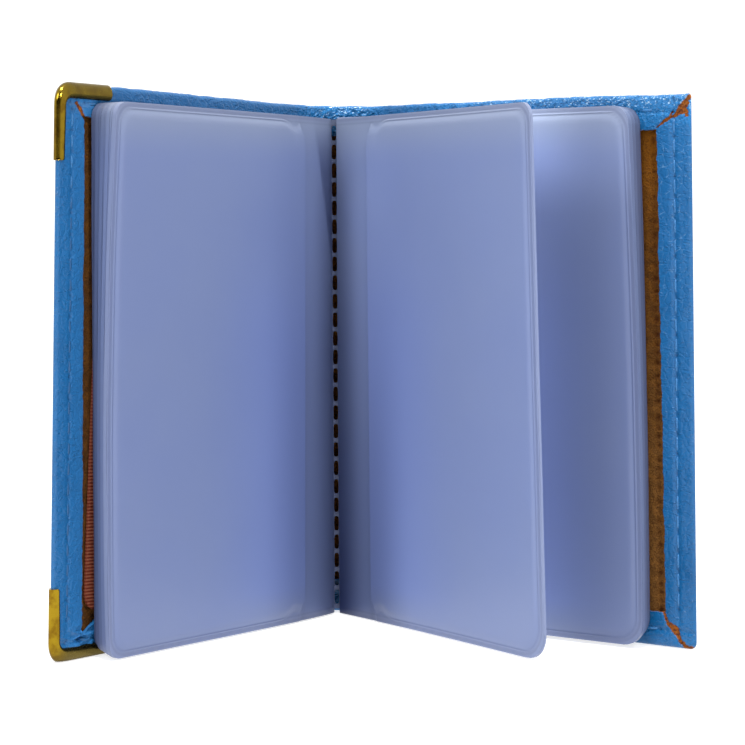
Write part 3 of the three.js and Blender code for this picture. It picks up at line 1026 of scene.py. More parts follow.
    def hem_relief(self, run: Array, z: Array) -> tuple[Array, Array]:
        """Depth added to the hem, and the darkness of the needle holes.

        Soft ripples, a pulled-in groove along each stitch line with a pit at each needle hole, folds
        of the crumpled parts and the gathers of the lower left corner are added up.

        Args:
            run: Developed place.
            z: Height.

        Returns:
            Depth in millimetres, and darkness from 0 to 1.
        """
        lines = {Edge.BOTTOM: z, Edge.RIGHT: self.high_run - run, Edge.TOP: self.plan.height - z,
                 Edge.LEFT: run - self.low_run}
        groove, pits = np.zeros_like(run), np.zeros_like(run)
        for edge, inset in lines.items():
            along = z if edge.upright else run
            near = hump(inset, self.stitch_inset[edge], 0.5) * (0.5 if edge is Edge.LEFT else 1.0)
            hole = np.maximum(np.cos(math.tau * along / self.stitch_pitch), 0.0) ** 14
            groove = np.maximum(groove, near)
            pits = np.maximum(pits, hump(inset, self.stitch_inset[edge], 0.34) * hole)
        gathered = ease(22.0, 12.0, np.abs(run))
        folds = np.abs(ripple(run, z * 0.4, 1.7, 41)) * lerp(0.12, 0.27, gathered)
        folds = folds + np.abs(ripple(run, z, 0.9, 42)) * lerp(0.16, 0.2, gathered) - 0.12
        soft = ripples(run, z, self.soft_waves)
        out = run - self.low_run
        gather = hump(out, 8.5, 4.0) * hump(z, 4.0, 2.4)
        pucker = gather * (0.62 * np.abs(ripple(run * 0.4, z, 2.0, 47)) - 0.3)
        depth = soft + 0.2 * groove + 0.2 * pits + self.crease(run, z) * folds + pucker
        return depth, pits

    def torn(self, run: Array, z: Array) -> Array:
        """How far each point lies in a tear.

        The distance to each part of a tear's path is taken from the half width there; short ripples
        make the sides ragged.

        Args:
            run: Developed place.
            z: Height.

        Returns:
            1 inside a tear and 0 outside.
        """
        inside = np.full_like(run, -9.0)
        for tear in self.tears:
            right = tear.corner in (Corner.TOP_RIGHT, Corner.BOTTOM_RIGHT)
            top = tear.corner in (Corner.TOP_RIGHT, Corner.TOP_LEFT)
            out = self.high_run - run if right else run - self.low_run
            end = self.plan.height - z if top else z
            for (a, b, first), (c, d, second) in zip(tear.path, tear.path[1:]):
                along, up = c - a, d - b
                share = ((out - a) * along + (end - b) * up) / (along ** 2 + up ** 2)
                share = np.clip(share, 0.0, 1.0)
                gap = np.hypot(out - a - share * along, end - b - share * up)
                inside = np.maximum(inside, lerp(first, second, share) - gap)
        return ease(-0.14, 0.14, inside + ripples(run, z, self.torn_waves))

    def settle(self, run: Array, z: Array, fore: Array) -> tuple[Array, Array]:
        """Draws the leather in under the brass and gives the top edge its slow rise and fine waves.

        Args:
            run: Developed place.
            z: Height.
            fore: How far each point belongs to a fore edge.

        Returns:
            The settled places and heights.
        """
        zone = self.brass_zone(run, z)
        turn = fore * 0.5 * math.pi
        top = z > 0.5 * self.plan.height
        near = ease(12.0, 0.0, np.where(top, self.plan.height - z, 30.0))
        lift = 0.32 * ease(-15.0, -80.0, run) - 0.35 * ease(55.0, 82.0, run)
        waves = ripples(run, 0.0 * z, self.top_waves) * (1.0 - zone)
        pull = zone * self.brass_pull
        settled = z + near * (lift + waves) + pull * np.cos(turn) * np.where(top, -1.0, 1.0)
        return run + pull * np.sin(turn), settled

    def squeezed(self, outward: Array, run: Array, z: Array) -> Array:
        """Depth drawn together towards one level under the brass corners.

        Args:
            outward: Depth behind the inner face.
            run: Developed place.
            z: Height.

        Returns:
            The depth there.
        """
        thin = self.brass_level + (outward - self.brass_level) * self.brass_squeeze
        return lerp(outward, thin, self.brass_zone(run, z))

    def hem_stations(self) -> tuple[Array, Array]:
        """Angles round the fold, and shares of the way over the hem's face to its cut side."""
        over = np.concatenate([np.linspace(0.04, 0.92, 22), [0.96, 0.985, 1.0]])
        return np.linspace(0.0, 0.5 * math.pi, 7), over

    def hem_profile(self, upright: bool) -> tuple[Array, Array, Array]:
        """Profile of a hem: a quarter ellipse over the fold, the hem's face, its cut side and underside.

        Args:
            upright: Whether the hem lies along a fore edge.

        Returns:
            Fixed inset of each ring, share of the hem's width added to it, and depth.
        """
        fold, middle = self.fold_depth[upright], self.fold_middle[upright]
        turn, over = self.hem_stations()
        inner = fold + self.tuck[upright]
        ahead = np.concatenate([fold * (1.0 - np.cos(turn)), fold + 0.0 * over,
                                fold + np.array([0.06, 0.09, 0.05, -0.7]), [inner, inner]])
        share = np.concatenate([0.0 * turn, over, [1.0, 1.0, 1.0, 1.0, 0.0, 0.0]])
        depth = np.concatenate([middle * (1.0 - np.sin(turn)), 0.07 * over ** 6,
                                [0.3, 0.62, 0.92, 1.0, 1.0, self.skin_face]])
        return ahead, share, depth

    def hem_fades(self) -> tuple[Array, Array]:
        """How much of the relief each ring of the hem's profile takes, and how far it is a cut side.

        Returns:
            Two values for each ring, from 0 to 1.
        """
        turn, over = self.hem_stations()
        relief = np.concatenate([ease(0.6, 1.5, turn), 0.0 * over + 1.0, [0.8, 0.4, 0.0, 0.0, 0.0, 0.0]])
        cut = np.concatenate([0.0 * turn, 0.3 * ease(0.95, 1.0, over), [0.46, 0.5, 0.5, 0.5, 0.5, 0.5]])
        return relief, cut

    def build(self) -> Shell:
        """Builds the closed leather shell.

        A profile is carried round the outline: from the fold's middle over the hem to its cut side, back
        under the hem and down to the skin's inner face, and on the other way over the fold to the
        outer face. Both faces are closed by patches spanned inside their last rings.

        Returns:
            The shell.
        """
        shell = Shell()
        self.add_skin(shell, self.add_hem(shell))
        return shell

    def add_hem(self, shell: Shell) -> Array:
        """Adds the hem and the skin's inner face.

        Args:
            shell: Shell to add to.

        Returns:
            Run, depth and height along the fold's middle.
        """
        fore = self.around()[None]
        relief, cut = self.hem_fades()
        profiles = {upright: self.hem_profile(upright) for upright in (True, False)}
        inset = {}
        for edge in Edge:
            ahead, share, _ = profiles[edge.upright]
            spare = self.hem_width(edge, self.shares(edge)) - self.fold_depth[edge.upright]
            inset[edge] = ahead[:, None] + share[:, None] * spare[None, :]
        ahead, share, depth = profiles[False]
        shrunk = np.array(self.corner_radius)[None] - (ahead + 5.0 * share)[:, None]
        run, z = self.walk(inset, np.maximum(shrunk, 0.04))
        added, pits = self.hem_relief(run, z)
        torn, crease = self.torn(run, z), self.crease(run, z)
        outward = lerp(depth[:, None], profiles[True][2][:, None], fore)
        outward = outward + relief[:, None] * (added + self.tear_depth * torn)
        outward = self.squeezed(outward, run, z)
        run, z = self.settle(run, z, fore)

        out, drop = run - self.low_run, self.plan.height - z
        whole = 1.0 - hump(out, 0.0, 14.0) * hump(z, 0.0, 12.0)
        # Painted light: lit brightens the inner strip of the left hem against the shade of the leaves, and
        # below 0 it paints shade low on the right hem. Below, glint marks painted highlights on the crumpled
        # top hem, and the last mark paints glint lines on the right.
        lit = 0.7 * ease(2.5, 8.5, out) * ease(12.0, 9.5, out)
        lit = lit - 0.22 * ease(40.0, 60.0, run) * ease(45.0, 5.0, z)
        bright = np.maximum(ease(9.0, 4.0, np.abs(run + 0.5)), ease(26.0, 38.0, run))
        index = shell.patch(self.plan.stand(run, outward, z), raw=np.maximum(torn, cut[:, None] * whole),
                            pit=pits * relief[:, None], crease=crease, lift=lit,
                            glint=crease * ease(4.0, 1.6, drop) * bright,
                            wear=0.26 * ease(20.0, 40.0, run) * ease(45.0, 105.0, z))
        shell.quads(index, wrap=True)
        self.close(shell, index[-1], np.stack([run[-1], outward[-1], z[-1]], -1), 2)
        return np.stack([run[0], outward[0], z[0]])

    def add_skin(self, shell: Shell, fold: Array) -> None:
        """Adds the outer face, from the fold's middle round to the back.

        At the ends the fold is a quarter ellipse. At the fore edges the skin is pared, its depth a power
        of the distance in.

        Args:
            shell: Shell to add to.
            fold: Run, depth and height along the fold's middle.
        """
        fore = self.around()[None]
        wrap = np.linspace(0.0, 1.0, 9)
        quarter = 0.5 * math.pi * wrap
        end_inset, fore_inset = self.skin_inset
        back = {True: fore_inset * wrap, False: end_inset * (1.0 - np.cos(quarter))}
        end_middle, fore_middle = self.fold_middle
        end_depth = lerp(end_middle, self.thickness, np.sin(quarter))
        fore_depth = lerp(fore_middle, self.thickness, wrap ** 0.8)
        inset = {edge: np.repeat(back[edge.upright][:, None], self.shares(edge).size, 1) for edge in Edge}
        run, z = self.walk(inset, np.repeat(np.array(self.corner_radius)[None], wrap.size, 0))
        torn = self.torn(run, z)
        outward = self.squeezed(lerp(end_depth[:, None], fore_depth[:, None], fore), run, z)
        run, z = self.settle(run, z, fore)
        run[0], outward[0], z[0] = fold
        index = shell.patch(self.plan.stand(run, outward, z), raw=torn * (1.0 - wrap[:, None]),
                            crease=self.crease(run, z) * 0.5)
        shell.quads(index, wrap=True)
        self.close(shell, index[-1], np.stack([run[-1], outward[-1], z[-1]], -1), 1)

    def close(self, shell: Shell, index: Array, ring: Array, halvings: int) -> None:
        """Closes a face inside its last ring.

        The ring is thinned to half its points a few times, then a patch is spanned between its four
        sides; on the outer face it is ruffled a little.

        Args:
            shell: Shell to close.
            index: Index of the ring's points.
            ring: Run, depth and height of the ring's points.
            halvings: How many times to halve.
        """
        middle = np.array([0.5 * (self.low_run + self.high_run), 0.0, 0.5 * self.plan.height])
        for _ in range(halvings):
            ring = ring[::2].copy()
            pull = 0.012 * (middle - ring)
            pull[:, 1] = 0.0
            ring = ring + pull
            thinner = shell.patch(self.plan.stand(ring[:, 0], ring[:, 1], ring[:, 2]))
            shell.halve(index, thinner)
            index = thinner
        scale = 2 ** halvings
        width = (self.end_steps + self.arc_steps) // scale
        rise = (self.fore_steps + self.arc_steps) // scale
        closed = np.concatenate([ring, ring[:1]])
        bottom, right = closed[:width + 1], closed[width:width + rise + 1]
        top = closed[width + rise:2 * width + rise + 1][::-1]
        left = closed[2 * width + rise:][::-1]
        grid = spanned(bottom, right, top, left)
        if halvings == 1:
            run, z = grid[..., 0], grid[..., 2]
            rim = np.minimum.reduce([z, self.plan.height - z, run - self.low_run, self.high_run - run])
            grid[..., 1] += ease(0.0, 8.0, rim) * ripples(run, z, self.back_waves)
        shell.quads(shell.patch(self.plan.stand(grid[..., 0], grid[..., 1], grid[..., 2]), crease=0.1))


@dataclass
class Stitches:
    """Rows of thread along the hems, on the inside and the outside."""

    cover: Cover
    length: float = 3.15
    radius: float = 0.27
    corner_gap: float = 4.6

    def build(self) -> Shell:
        """Builds all stitches as one shell of short threads.

        Each thread is a spindle: its radius is the thread's times the fourth root of one less the fourth
        power of the share along it, and both ends dive into the leather.

        Returns:
            The shell.
        """
        shell = Shell()
        cover = self.cover
        along, turn = np.meshgrid(np.sin(np.linspace(-1.0, 1.0, 9) * math.pi / 2.0),
                                  np.linspace(0.0, math.tau, 9)[:-1], indexing="ij")
        girth = self.radius * np.maximum(1.0 - along ** 4, 0.0) ** 0.25
        length = 0.5 * self.length * along
        sink = 0.1 + 0.4 * along ** 4
        for edge in Edge:
            low, high = (0.0, cover.plan.height) if edge.upright else (cover.low_run, cover.high_run)
            first = math.ceil((low + self.corner_gap) / cover.stitch_pitch)
            last = math.floor((high - self.corner_gap) / cover.stitch_pitch)
            centre = (np.arange(first, last) + 0.5)[:, None, None] * cover.stitch_pitch
            inset = cover.stitch_inset[edge]
            line = {Edge.BOTTOM: inset, Edge.RIGHT: cover.high_run - inset,
                    Edge.TOP: cover.plan.height - inset, Edge.LEFT: cover.low_run + inset}[edge]
            for outside in (False, True):
                place = centre + length[None]
                lean = 0.06 * np.sin(centre * 7.3) * along[None] + line + girth[None] * np.cos(turn)[None]
                run, z = (lean, place) if edge.upright else (place, lean)
                level = sink + girth * np.sin(turn)
                relief, _ = cover.hem_relief(run, z)
                face = cover.thickness - level if outside else level + np.clip(relief, -0.1, 0.1)
                shade = 0.9 * ease(96.0, 84.0, z) if edge is Edge.LEFT and not outside else 0.0 * z
                index = shell.patch(cover.plan.stand(run, np.broadcast_to(face, run.shape), z), shade=shade)
                shell.quads(index, wrap=True)
        return shell


@dataclass
class Lining:
    """Suede lining held under the hems."""

    cover: Cover
    near: float = 1.2
    far: float = 1.8
    fore_margin: float = 3.0
    end_margin: float = 1.9
    dent_zone: float = 11.0
    dent_pitch: float = 2.1
    dent_inset: tuple[float, float] = (8.15, 9.2)
    dent_width: float = 0.6
    dent_depth: float = 0.3
    nap_waves: tuple[Wave, ...] = ((0.06, 3.0, 71), (0.03, 1.6, 72))
    drift_waves: tuple[Wave, ...] = ((1.6, 9.0, 73),)
    fade_waves: tuple[Wave, ...] = ((0.4, 5.0, 74),)
    columns: int = 130
    dent_columns: int = 36
    rows: int = 230

    def build(self) -> Shell:
        """Builds the sheet.

        A grid between the hems is roughened by two sizes of ripple. Along the right hem a row of dents sinks
        into it, humps across the row times the positive part of a cosine along it; the finish paints shade
        in them.

        Returns:
            The shell.
        """
        cover = self.cover
        right = cover.high_run - self.dent_zone
        run, z = np.meshgrid(
            np.concatenate([np.linspace(cover.low_run + self.fore_margin, right, self.columns),
                            np.linspace(right, cover.high_run - self.fore_margin, self.dent_columns)[1:]]),
            np.linspace(self.end_margin, cover.plan.height - self.end_margin, self.rows))
        nap = ripples(run, z, self.nap_waves)
        along = np.cos(math.tau * z / self.dent_pitch + ripples(z, 0.0 * z, self.drift_waves))
        centre = lerp(*self.dent_inset, z / cover.plan.height)
        dent = hump(cover.high_run - run, centre, self.dent_width) * (0.3 + 0.7 * np.maximum(along, 0.0))
        dent = dent * np.clip(0.8 + ripples(run, z, self.fade_waves), 0.0, 1.0)
        # For the right strip, the first of the two marks below paints light near its top; the second makes
        # it paler and greyer further down.
        side = ease(20.0, 40.0, run)
        shell = Shell()
        shell.sheet(cover.plan.stand(run, self.near + nap + self.dent_depth * dent, z),
                    cover.plan.stand(run, self.far + 0.0 * z, z), dent=dent,
                    warm=side * ease(75.0, 108.0, z), worn=side * ease(85.0, 25.0, z))
        return shell


@dataclass
class BrassCorner:
    """Folded brass channel round one corner of the left cover.

    Tarnish is given for the lower and the upper corner, in that order. It is partly tarnished brass and
    partly painted shade: a painted dark reflection on the bars and painted shade along the front lips.
    """

    cover: Cover
    at_top: bool
    leg: float = 14.3
    fore_band: float = 1.9
    end_band: float = 2.6
    wall: float = 0.45
    proud: float = 0.5
    end_round: float = 0.5
    swell: float = 0.32
    end_swell: float = 0.6
    taper: float = 0.14
    taper_reach: float = 9.0
    crest: float = 0.72
    bar_tarnish_and_shade: tuple[float, float] = (0.9, 0.66)
    leg_tarnish_and_shade: tuple[float, float] = (0.0, 0.22)
    most_tarnish_and_shade: float = 1.08

    def build(self) -> Shell:
        """Builds the channel.

        A rounded C profile is carried along the L of the outline: a small quarter ellipse from the front
        lip to the crest, a large one round to the outermost point, and a curve down the back. The inner
        face is the same profile less the wall. At the ends of the legs the bands narrow along a
        quarter circle, and the upright leg tapers towards its end.

        Returns:
            The shell.
        """
        radius = self.cover.corner_radius[0]
        tips = self.end_round * (1.0 - np.cos(np.linspace(0.0, 0.5 * math.pi, 7)))
        leg = np.concatenate([tips, np.linspace(self.end_round, self.leg - radius, 13)[1:]])
        bend = np.linspace(0.0, 0.5 * math.pi, 22)[1:-1]
        base = np.concatenate([np.stack([0.0 * leg, self.leg - leg], -1),
                               np.stack([radius * (1.0 - np.cos(bend)), radius * (1.0 - np.sin(bend))], -1),
                               np.stack([self.leg - leg[::-1], 0.0 * leg], -1)])
        turn = np.concatenate([0.0 * leg, bend, 0.0 * leg + 0.5 * math.pi])
        inward = np.stack([np.cos(turn), np.sin(turn)], -1)
        fore = (np.cos(turn) ** 2)[:, None]
        tip = np.concatenate([leg, np.full(bend.size, self.taper_reach), leg[::-1]])[:, None]
        tapered = self.fore_band * (1.0 - self.taper * ease(self.taper_reach, 0.0, tip))
        band = lerp(self.end_band, tapered, fore) - drawn_in(self.end_round, tip)
        middle = lerp(1.1, 0.75, fore)
        quarter = np.linspace(0.0, 0.5 * math.pi, 12)
        flat, steep = np.cos(quarter), np.sin(quarter)
        low_turn = np.linspace(0.0, 0.5 * math.pi, 5)

        faces = []
        for wall in (0.0, self.wall):
            edge, front = wall - lerp(self.end_swell, self.swell, fore), -self.proud + wall
            crest = self.crest * band
            lip_in, lip_out = lerp(band, crest, 1.0 - np.cos(low_turn)), lerp(0.3, front, np.sin(low_turn))
            front_in, front_out = crest + (edge - crest) * steep, middle + (front - middle) * flat
            pared = 0.85 + 2.45 * (band / 2.6) ** 0.8 - wall * 1.3
            deep = lerp(self.cover.thickness + self.proud - wall, pared, fore)
            back_in = edge + (band - edge) * lerp(1.0 - flat, quarter / quarter[-1], fore)
            back_out = middle + (deep - middle) * lerp(steep, (quarter / quarter[-1]) ** 0.75, fore)
            inset = np.concatenate([lip_in + 0.0 * band, front_in[:, 1:], back_in[:, 1:]], 1)
            outward = np.concatenate([lip_out + 0.0 * band, front_out[:, 1:], back_out[:, 1:]], 1)
            flat_place = base[:, None, :] + inset[..., None] * inward[:, None, :]
            run = self.cover.low_run + flat_place[..., 0]
            rise = flat_place[..., 1]
            z = self.cover.plan.height - rise if self.at_top else np.maximum(rise, 0.0)
            faces.append(self.cover.plan.stand(run, outward, z))
        shell = Shell()
        # Painted shade along the front lip, added on top of the tarnished colour.
        lip = np.concatenate([np.linspace(1.0, 0.0, low_turn.size), np.zeros(2 * quarter.size - 2)])
        tarnish = lerp(self.bar_tarnish_and_shade[self.at_top], self.leg_tarnish_and_shade[self.at_top], fore)
        tarnish = np.minimum(tarnish + 0.5 * lip, self.most_tarnish_and_shade)
        shell.sheet(faces[0], faces[1], tarnish=tarnish)
        return shell


@dataclass
class LeafCurve:
    """Plan curves of one leaf at the bottom and the top of the case, ruled between."""

    bottom: Array
    top: Array
    sign: int
    height: float

    def along(self, controls: Array, distance: Array) -> tuple[Array, Array]:
        """Points and directions of a cubic curve at distances along it, straight on past its end.

        Args:
            controls: Control points of the curve.
            distance: Distances along it.

        Returns:
            Plan points, and unit directions there.
        """
        points, run = cubic(controls)
        slope = np.gradient(points, run, axis=0)
        held = np.clip(distance, 0.0, run[-1])
        place = np.stack([np.interp(held, run, points[:, k]) for k in (0, 1)], -1)
        way = np.stack([np.interp(held, run, slope[:, k]) for k in (0, 1)], -1)
        return place + (distance - held)[..., None] * way, way

    def length(self) -> float:
        """Mean length of the two curves."""
        return 0.5 * float(cubic(self.bottom)[1][-1] + cubic(self.top)[1][-1])

    def stand(self, distance: Array, depth: Array, z: Array) -> Array:
        """Points of a leaf.

        The plan curve at a height is a straight blend of the bottom and top curves, and the depth is set
        off square to it.

        Args:
            distance: Distance along the leaf.
            depth: Depth on the reader's side.
            z: Height.

        Returns:
            Points in millimetres.
        """
        share = (z / self.height)[..., None]
        low, low_way = self.along(self.bottom, distance)
        high, high_way = self.along(self.top, distance)
        way = lerp(low_way, high_way, share)
        way = way / np.linalg.norm(way, axis=-1, keepdims=True)
        square = np.stack([way[..., 1], -way[..., 0]], -1) * self.sign
        plan = lerp(low, high, share) + square * depth[..., None]
        return np.concatenate([plan, z[..., None]], -1)


@dataclass
class Leaf:
    """One pocket leaf: a base film from the weld, and a pocket film welded to it along three edges.

    Edge shift is how far the fore edge strays at the bottom, the middle and the top. Tone, gutter, fade,
    crown and rim shade paint shade and light into the film: gutter lists shares of the height, each with
    the film's painted brightness at the weld and at the pocket's mouth. The corner radii are the lower and
    the upper one.
    """

    curve: LeafCurve
    edge_shift: Triple
    tone: float
    gutter: tuple[Triple, ...]
    seed: int
    puff: float
    fade: float
    crown: float
    low: float = 0.8
    high: float = 107.0
    corner: tuple[float, float] = (3.0, 3.0)
    mouth: float = 12.3
    film: float = 0.25
    rim: float = 1.2
    rim_level: float = 0.47
    rim_shade: float = 0.0
    rim_grey: float = 1.0
    fade_span: tuple[float, float] = (22.0, 72.0)
    cool_span: tuple[float, float] = (46.0, 18.0)
    crown_span: tuple[float, float] = (0.79, 0.94)
    warp_waves: tuple[Wave, ...] = ((0.04, 30.0, 0),)
    warp_span: tuple[float, float] = (12.0, 30.0)
    full: float = 0.8
    inner_round: float = 1.4
    mouth_curve: tuple[float, float] = (1.6, 4.2)
    rim_steps: tuple[float, ...] = (0.0, 0.08, 0.22, 0.42, 0.65, 0.85, 0.98, 1.08, 1.16, 1.24, 1.32, 1.42,
                                    1.56, 1.78, 2.1, 2.6, 3.3, 4.3)

    def grid(self, start: Array) -> tuple[Array, Array, Array, Array]:
        """Places of a film's points.

        Columns run from the start to the fore edge and rows from the bottom to the top, close together
        along the welded rim. Near the fore edge the rows draw in along the rounded corners.

        Args:
            start: Distance along the leaf where the film starts, at even steps of the height.

        Returns:
            Distance along, height, distance to the nearest welded edge, and share of the height.
        """
        steps = np.array(self.rim_steps)
        tall = self.high - self.low
        between = np.linspace(steps[-1], tall - steps[-1], 30)[1:-1]
        share = (np.concatenate([steps, between, tall - steps[::-1]]) / tall)[:, None]
        wide = self.curve.length() - float(np.mean(start))
        column = np.concatenate([np.linspace(0.0, 14.0, 22), np.linspace(17.0, wide - steps[-1], 19)[:-1],
                                 wide - steps[::-1]])[None, :] / wide
        swell = (share - 0.5) * 2.0
        lower, middle, upper = self.edge_shift
        tip = self.curve.length() + lerp(lower, upper, share)
        tip = tip + (middle - 0.5 * (lower + upper)) * (1.0 - swell ** 2)
        distance = lerp(np.interp(share, np.linspace(0.0, 1.0, start.size), start), tip, column)
        side = tip - distance
        low_drawn, high_drawn = (drawn_in(corner, side) for corner in self.corner)
        z = lerp(self.low + low_drawn, self.high - high_drawn, share)
        end = np.minimum(z - self.low, self.high - z)
        turn = np.where(share < 0.5, *self.corner) + self.inner_round
        inner = turn - np.hypot(np.maximum(turn - side, 0.0), np.maximum(turn - end, 0.0))
        edge = np.where((side < turn) & (end < turn), inner, np.minimum(side, end))
        return distance, z, edge, share

    def brightness(self, distance: Array, share: Array, single: bool) -> Array:
        """Painted brightness of the film: painted shade falling into the gutter.

        Smooth steps lead from the weld to the mouth where the film lies single, and from the mouth to the
        open leaf where the pocket covers it. The fade, painted shade towards the fore edge, and the crown,
        painted light at the top, multiply the latter.

        Args:
            distance: Distance along the leaf.
            share: Share of the height.
            single: Whether the film lies single.

        Returns:
            Brightness, near 1 on a bright leaf.
        """
        level, weld, lip = np.array(self.gutter).T
        lip = np.interp(share, level, lip)
        near = lerp(np.interp(share, level, weld), lip, ease(0.0, 0.85 * self.mouth, distance))
        far = lerp(0.06 + 0.94 * lip, 1.0, ease(self.mouth, self.mouth + 16.0, distance))
        far = far * (1.0 - self.fade * ease(*self.fade_span, distance))
        far = far * (1.0 + self.crown * ease(*self.crown_span, share))
        return self.tone * (near if single else far)

    def edges(self, tone: Array, edge: Array) -> Array:
        """Brightness with a painted highlight on the cut edge, a painted light line and a painted shadow
        line of the weld bead inside it, and painted shade along the rim.

        Args:
            tone: Brightness of the film.
            edge: Distance to the nearest welded edge.

        Returns:
            Brightness with the lines, bell curves about their places.
        """
        # Painted highlight on the cut edge, painted light and shadow lines of the bead, and painted rim
        # shade.
        pale = 0.2 * ease(0.35, 0.1, edge)
        line = 0.10 * hump(edge, self.rim - 0.35, 0.25) - 0.14 * hump(edge, self.rim + 0.12, 0.2)
        return tone * (1.0 + line + pale) * (1.0 - self.rim_shade * ease(1.6, 0.5, edge))

    def warp(self, distance: Array, z: Array) -> Array:
        """Slow waves of the films, from the mouth outwards."""
        return ripples(distance, z, self.warp_waves, self.seed) * ease(*self.warp_span, distance)

    def base(self) -> Shell:
        """Builds the base film.

        It is a little warped, and its back is bellied towards the leaf behind. On the left leaves the
        shadow of the raised leaf darkens a wedge at the top of the gutter.

        Returns:
            The shell.
        """
        distance, z, edge, share = self.grid(np.zeros(2))
        warp = self.warp(distance, z)
        belly = self.puff * ease(14.0, 42.0, distance) * (0.95 + 0.05 * ease(0.0, 0.3, edge))
        tone = self.brightness(distance, share, True)
        tone = lerp(tone, self.tone * (1.0 - self.fade), ease(self.mouth, self.mouth + 3.0, distance))
        if self.curve.sign < 0:
            wedge = ease(0.4, -0.4, distance - 8.2 * (z - 74.0) / 32.0)
            tone = tone * (1.0 - 0.52 * wedge * ease(108.0, 95.0, z))
        shell = Shell()
        shell.sheet(self.curve.stand(distance, warp + self.film, z),
                    self.curve.stand(distance, warp - belly, z),
                    tone=self.edges(tone, edge), rim=self.rim_grey * ease(1.3, 0.7, edge))
        return shell

    def pocket(self) -> Shell:
        """Builds the pocket film.

        It lies on the base along its welded rim, rises in a bead just inside the rim and stands a little
        off over the pocket. Its mouth is cut back in a small curve at both ends.

        Returns:
            The shell.
        """
        level = np.linspace(0.0, 1.0, FINE // 5)
        end = np.minimum(level, 1.0 - level) * (self.high - self.low)
        reach, tall = self.mouth_curve
        start = self.mouth + reach * np.sqrt(np.clip(1.0 - (end / tall) ** 2, 0.0, 1.0))
        distance, z, edge, share = self.grid(start)
        dip = edge - 1.3 * hump(distance, self.mouth + 3.4, 2.2)
        warp = self.warp(distance, z)
        bead = 0.08 * hump(dip, self.rim, 0.15) - 0.05 * hump(dip, self.rim - 0.28, 0.13)
        front = warp + lerp(self.rim_level, self.full, ease(self.rim - 0.1, self.rim + 1.4, dip)) + bead
        under = lerp(self.film + 0.04, front - 0.18, ease(0.4, self.rim + 1.4, edge))
        under = np.minimum(under, front - 0.12)
        # Painted light: the cool mark makes the shaded middle bluer, as light through the film would.
        cool = ease(*self.cool_span, distance) * ease(2.0, 9.0, edge) * (1.0 - 0.8 * ease(0.5, 0.85, share))
        shell = Shell()
        shell.sheet(self.curve.stand(distance, front, z), self.curve.stand(distance, under, z),
                    tone=self.edges(self.brightness(distance, share, False), edge),
                    rim=self.rim_grey * ease(1.3, 0.7, edge), cool=cool)
        return shell


